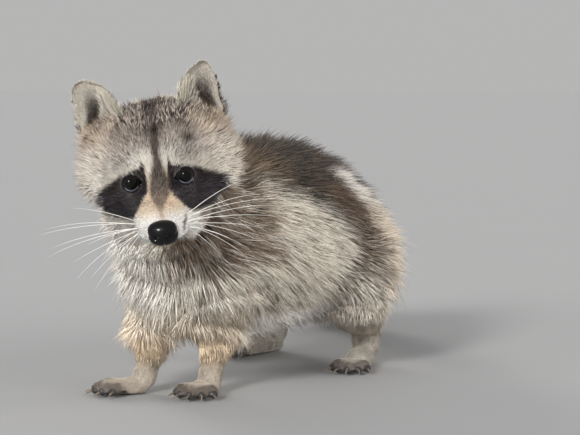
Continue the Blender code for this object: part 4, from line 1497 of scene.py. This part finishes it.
def make_eye(side, material):
    """An eyeball with a slightly raised cornea."""
    axes = eye_axes(side)

    def shape(way):
        slope = np.degrees(np.arccos(np.clip(way[:, 2], -1, 1)))
        radius = EYE_RADIUS - 0.05 * MM + 0.5 * MM * ramp(slope, 46, 20)
        return (way * radius[:, None]) @ axes + EYE_MIDDLES[side]

    mesh, way = round_mesh(f"eyeball_{side}", 64, 44, shape)
    raised = unit(np.array((0.0, math.tan(math.radians(SIGHT_RISE)), 1.0)))
    slope = np.degrees(np.arccos(np.clip(way @ raised, -1, 1)))
    turn = np.arctan2(way[:, 1], way[:, 0])
    add_attribute(mesh, "sight", np.stack([slope, turn, turn], 1))
    add_attribute(mesh, "spoke", np.stack([np.cos(turn), np.sin(turn), slope / 90], 1))
    add_piece(f"eyeball_{side}", mesh, material, "eye", f"eye_{side}")


def make_nose(material):
    """The nose pad with its nostrils, the slits beside them and the groove below."""
    size = np.array((12.4, 9.8, 10.9)) * MM

    def shape(way):
        x, out, up = way[:, 0], way[:, 2], -way[:, 1]
        local = np.stack([x * size[0], -out * size[1], up * size[2]], 1)
        local[:, 0] *= 1.0 + 0.34 * up**2 - 0.06 * ramp(up, -0.2, -1.0)
        local[:, 2] = np.sign(up) * np.abs(up) ** 0.86 * size[2]
        side = np.abs(local[:, 0])
        front = ramp(out, 0.1, 0.5)
        hole = hill_mm((side, 5.4, 1.9), (local[:, 2], 0.4, 1.7))
        slit = hill_mm((local[:, 2] + 1.4 * MM - 0.25 * (side - 8 * MM), 0, 0.9))
        slit *= ramp_mm(side, 5.0, 7.0)
        groove = hill_mm((side, 0, 0.8)) * ramp_mm(local[:, 2], 1.0, -2.5)
        sink = (4.2 * hole + 1.7 * slit * ramp(out, -0.2, 0.2) + 0.9 * groove) * MM
        wing = hill_mm((side, 8.6, 2.0), (local[:, 2], 1.5, 3.5))
        push = 0.5 * MM * wing - sink * np.where(hole > slit, front, 1.0)
        local += unit(local) * push[:, None]
        return from_head(local + NOSE_MIDDLE)

    mesh, _ = round_mesh("nose_pad", 96, 72, shape)
    add_piece("nose_pad", mesh, material, "nose", "nose")


def make_claws(material):
    """Each claw's solid, rounded."""
    for name in sorted(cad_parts):
        if not name.startswith("claw_"):
            continue
        whole = building(solid(name))
        bmesh.ops.remove_doubles(whole, verts=whole.verts, dist=0.00001)
        rough = new_object("horn_rough", built(whole, bpy.data.meshes.new("horn")))
        rounder = rough.modifiers.new("rounder", "SUBSURF")
        rounder.levels = rounder.render_levels = 2
        fine = applied(rough)
        bpy.data.objects.remove(rough)
        fine.shade_smooth()
        add_piece(name.replace("claw_", "horn_"), fine, material, "claw", name)


def hair_tube(line, thick, sides=5):
    """A closed tapered hair along rows of points."""
    line = np.asarray(line)
    ways = unit(np.gradient(line, axis=0))
    across = unit(np.cross(ways, (0.31, 0.17, 0.93)))
    rise = np.cross(across, ways)
    turns = np.arange(sides) * 2 * math.pi / sides
    radii = thick / 2 * (1 - 0.85 * np.linspace(0, 1, len(line)) ** 1.7)
    wide, high = np.cos(turns)[:, None], np.sin(turns)[:, None]
    points = np.vstack([line[k] + radii[k] * (wide * across[k] + high * rise[k]) for k in range(len(line))])
    faces = []
    for k in range(len(line) - 1):
        for m in range(sides):
            one, two = k * sides + m, k * sides + (m + 1) % sides
            faces += [(one, two, two + sides), (one, two + sides, one + sides)]
    last = (len(line) - 1) * sides
    for m in range(1, sides - 1):
        faces += [(0, m + 1, m), (last, last + m, last + m + 1)]
    return points, np.array(faces)


# Whiskers of one side: how steeply each starts in degrees, its length, and how far behind WHISKER_START and
# below it it grows, in millimetres.
WHISKER_START = (22.0, -40.0, -19.0)  # out, back and up on the head's axes
WHISKER_FAN = (
    (38, 52, 9, 0), (29, 70, 5, 1), (21, 78, 10, 3), (14, 74, 2, 3), (6, 76, 8, 6), (-5, 66, 3, 6),
    (-14, 74, 10, 9), (-22, 60, 4, 9), (-31, 68, 9, 12), (-41, 48, 4, 12), (13, 46, 0, 2), (-10, 42, 0, 8),
)
BROW_WHISKERS = ((62, 26, 10), (74, 22, 16))  # steepness, length and how far out
WHISKER_SWEEP = {"left": (0.36, 1.12, 7.0), "right": (-0.04, 1.04, 0.0)}  # way back, stretch, degrees lower
WHISKER_THICK, BROW_THICK = 0.56 * MM, 0.40 * MM
WHISKER_SEED = 31
BROW_START = (-4.0, 17.0)  # back and up


def whisker(tree, at, start, length, droop, sweep, thick):
    """One whisker from the skin nearest a place on the head's axes."""
    root = np.array(tree.find_nearest(Vector(from_head(at)))[0])
    line = [root - start * 1.5 * MM]  # it starts under the skin
    steps = 14
    for k in range(steps):
        share = (k + 0.5) / steps
        bend = start + np.array((0, 0, -1.0)) * droop * share**1.3 + HEAD_AXES[1] * sweep * share
        line.append(line[-1] + unit(bend) * length / steps)
    return hair_tube(line, thick)


def make_whiskers(side, tree, material):
    """The whiskers of one side of the muzzle, and two over the eye."""
    chance = np.random.default_rng(WHISKER_SEED + SIDES[side])
    way = SIDES[side]
    back, stretch, lower = WHISKER_SWEEP[side]
    out, start_back, start_up = WHISKER_START
    tubes = []
    for steep, length, behind, below in WHISKER_FAN:
        at = np.array((out * way, start_back + behind, start_up - below)) * MM
        slope = math.radians(steep - lower + chance.normal(0, 2.0))
        start = unit(np.array((way * math.cos(slope), back, math.sin(slope) - 0.18)) @ HEAD_AXES)
        long = (length + chance.normal(0, 2.0)) * stretch * MM
        droop = chance.uniform(0.35, 0.60)
        tubes.append(whisker(tree, at, start, long, droop, chance.uniform(0.1, 0.3), WHISKER_THICK))
    for steep, length, out in BROW_WHISKERS:
        at = np.array((out * way, *BROW_START)) * MM
        slope = math.radians(steep)
        start = unit(np.array((way * math.cos(slope), -0.45, math.sin(slope))) @ HEAD_AXES)
        tubes.append(whisker(tree, at, start, length * MM, 0.3, 0.5, BROW_THICK))
    bases = np.cumsum([0] + [len(tube) for tube, _ in tubes])
    faces = np.vstack([tris + base for (_, tris), base in zip(tubes, bases)])
    mesh = mesh_from(f"whiskers_{side}", np.vstack([tube for tube, _ in tubes]), faces)
    add_piece(f"whiskers_{side}", mesh, material, "coat")


# ---------------------------------------------------------------- camera, light and floor
CAMERA_TURN = math.radians(27)  # to the animal's left of straight ahead
CAMERA_PITCH = math.radians(4)
CAMERA_AWAY = 1.6
CAMERA_ASIDE = 0.111
CAMERA_ABOVE_EYES = 0.0794
CAMERA_LENS = 118.2

# Lights: turn to the animal's left of straight ahead, height and width in degrees, strength, colour, and
# whether wet surfaces mirror it.
LIGHTS = {
    "key": (2, 23, 14, 2.8, (1, 1, 1), True),
    "fill": (84, 6, 50, 1.9, (1, 1, 1), False),
    "low_front": (-25, 3, 35, 2.3, (1, 1, 1), False),
    "edge_left": (-125, 20, 20, 1.7, (1.0, 0.97, 0.93), False),
    "edge_right": (138, 9, 20, 1.7, (1.0, 0.97, 0.93), False),
}
HORIZON_TONE = (0.468, 0.466, 0.462)
SKY_TONE = (0.46, 0.47, 0.49)
SKY_RISE = 0.6  # how high the horizon's tone has passed into the sky's
FLOOR_REACH = 60.0


def set_camera():
    """The camera, placed from the middle between the eyes."""
    aside = Vector((math.cos(CAMERA_TURN), math.sin(CAMERA_TURN), 0))
    ahead = Vector((-math.sin(CAMERA_TURN), math.cos(CAMERA_TURN), 0))
    camera = new_object("camera", bpy.data.cameras.new("camera"))
    camera.location = Vector(HEAD_ORIGIN) + aside * CAMERA_ASIDE - ahead * CAMERA_AWAY
    camera.location.z = HEAD_ORIGIN[2] + CAMERA_ABOVE_EYES
    look = ahead * math.cos(CAMERA_PITCH) - Vector((0, 0, 1)) * math.sin(CAMERA_PITCH)
    camera.rotation_euler = look.to_track_quat("-Z", "Y").to_euler()
    camera.data.sensor_width = 36
    camera.data.lens = CAMERA_LENS
    camera.data.clip_start = 0.01
    bpy.context.scene.camera = camera


def add_light(name, turn, height, spread, strength, colour, gloss):
    """A far soft light."""
    data = bpy.data.lights.new(name, "SUN")
    data.angle = math.radians(spread)
    data.energy = strength
    data.color = colour
    light = new_object(name, data)
    light.visible_glossy = gloss
    around, above = math.radians(turn), math.radians(height)
    flat = math.cos(above)
    out = Vector((math.sin(around) * flat, -math.cos(around) * flat, math.sin(above)))
    light.rotation_euler = out.to_track_quat("Z", "Y").to_euler()


def light_scene():
    """Soft studio light, and an even sky."""
    for name, settings in LIGHTS.items():
        add_light(name, *settings)
    world = bpy.data.worlds.new("studio")
    world.use_nodes = True
    nodes, links = world.node_tree.nodes, world.node_tree.links
    way = nodes.new("ShaderNodeTexCoord")
    parted = nodes.new("ShaderNodeSeparateXYZ")
    rise = nodes.new("ShaderNodeMapRange")
    rise.inputs[1].default_value, rise.inputs[2].default_value = 0.0, SKY_RISE
    blend = nodes.new("ShaderNodeMix")
    blend.data_type = "RGBA"
    blend.inputs[6].default_value = (*HORIZON_TONE, 1)
    blend.inputs[7].default_value = (*SKY_TONE, 1)
    links.new(way.outputs[0], parted.inputs[0])
    links.new(parted.outputs[2], rise.inputs[0])
    links.new(rise.outputs[0], blend.inputs[0])
    links.new(blend.outputs[2], nodes["Background"].inputs[0])
    bpy.context.scene.world = world
    bpy.context.scene.view_settings.view_transform = "Standard"


def make_floor(material):
    """A wide floor at the height of the soles."""
    whole = building()
    bmesh.ops.create_grid(whole, x_segments=1, y_segments=1, size=FLOOR_REACH)
    mesh = built(whole, bpy.data.meshes.new("floor"))
    mesh.materials.append(material)
    new_object("floor", mesh)


# ---------------------------------------------------------------- all of it
def make_animal():
    """The skin, the coat that grows from it, and the eyes, nose, claws and whiskers."""
    skin = make_skin()
    coat = Coat(skin)
    mesh = skin.data
    resting = np.zeros(len(coat.points))
    add_attribute(mesh, "place", coat.place)
    add_attribute(mesh, "strand", np.stack([resting + 0.15, resting + 0.5, resting], 1))
    add_attribute(mesh, "parts", coat.parts)
    add_attribute(mesh, "extra", np.stack([coat.tail, coat.foot, resting], 1))
    add_attribute(mesh, "ear", coat.ear)
    rings = np.min([eye_ring(eye_place(coat.points, side), side) for side in SIDES], 0)
    wet = ramp(rings, 1.20, 1.05) * (eye_gap(coat.points) < 14 * MM)
    add_attribute(mesh, "bare", np.stack([coat.bare() * 1.0, wet, wet], 1))
    mesh.materials.clear()
    mesh.materials.append(skin_material())
    dress(skin, "coat", *FLESH)
    grow_coats(coat, coat_material())
    eye = eye_material()
    for side in SIDES:
        make_eye(side, eye)
    make_nose(nose_material())
    make_claws(claw_material())
    tree = BVHTree.FromPolygons(coat.points.tolist(), coat.triangles.tolist())
    hair = whisker_material()
    for side in SIDES:
        make_whiskers(side, tree, hair)


make_animal()
make_floor(floor_material())
set_camera()
light_scene()
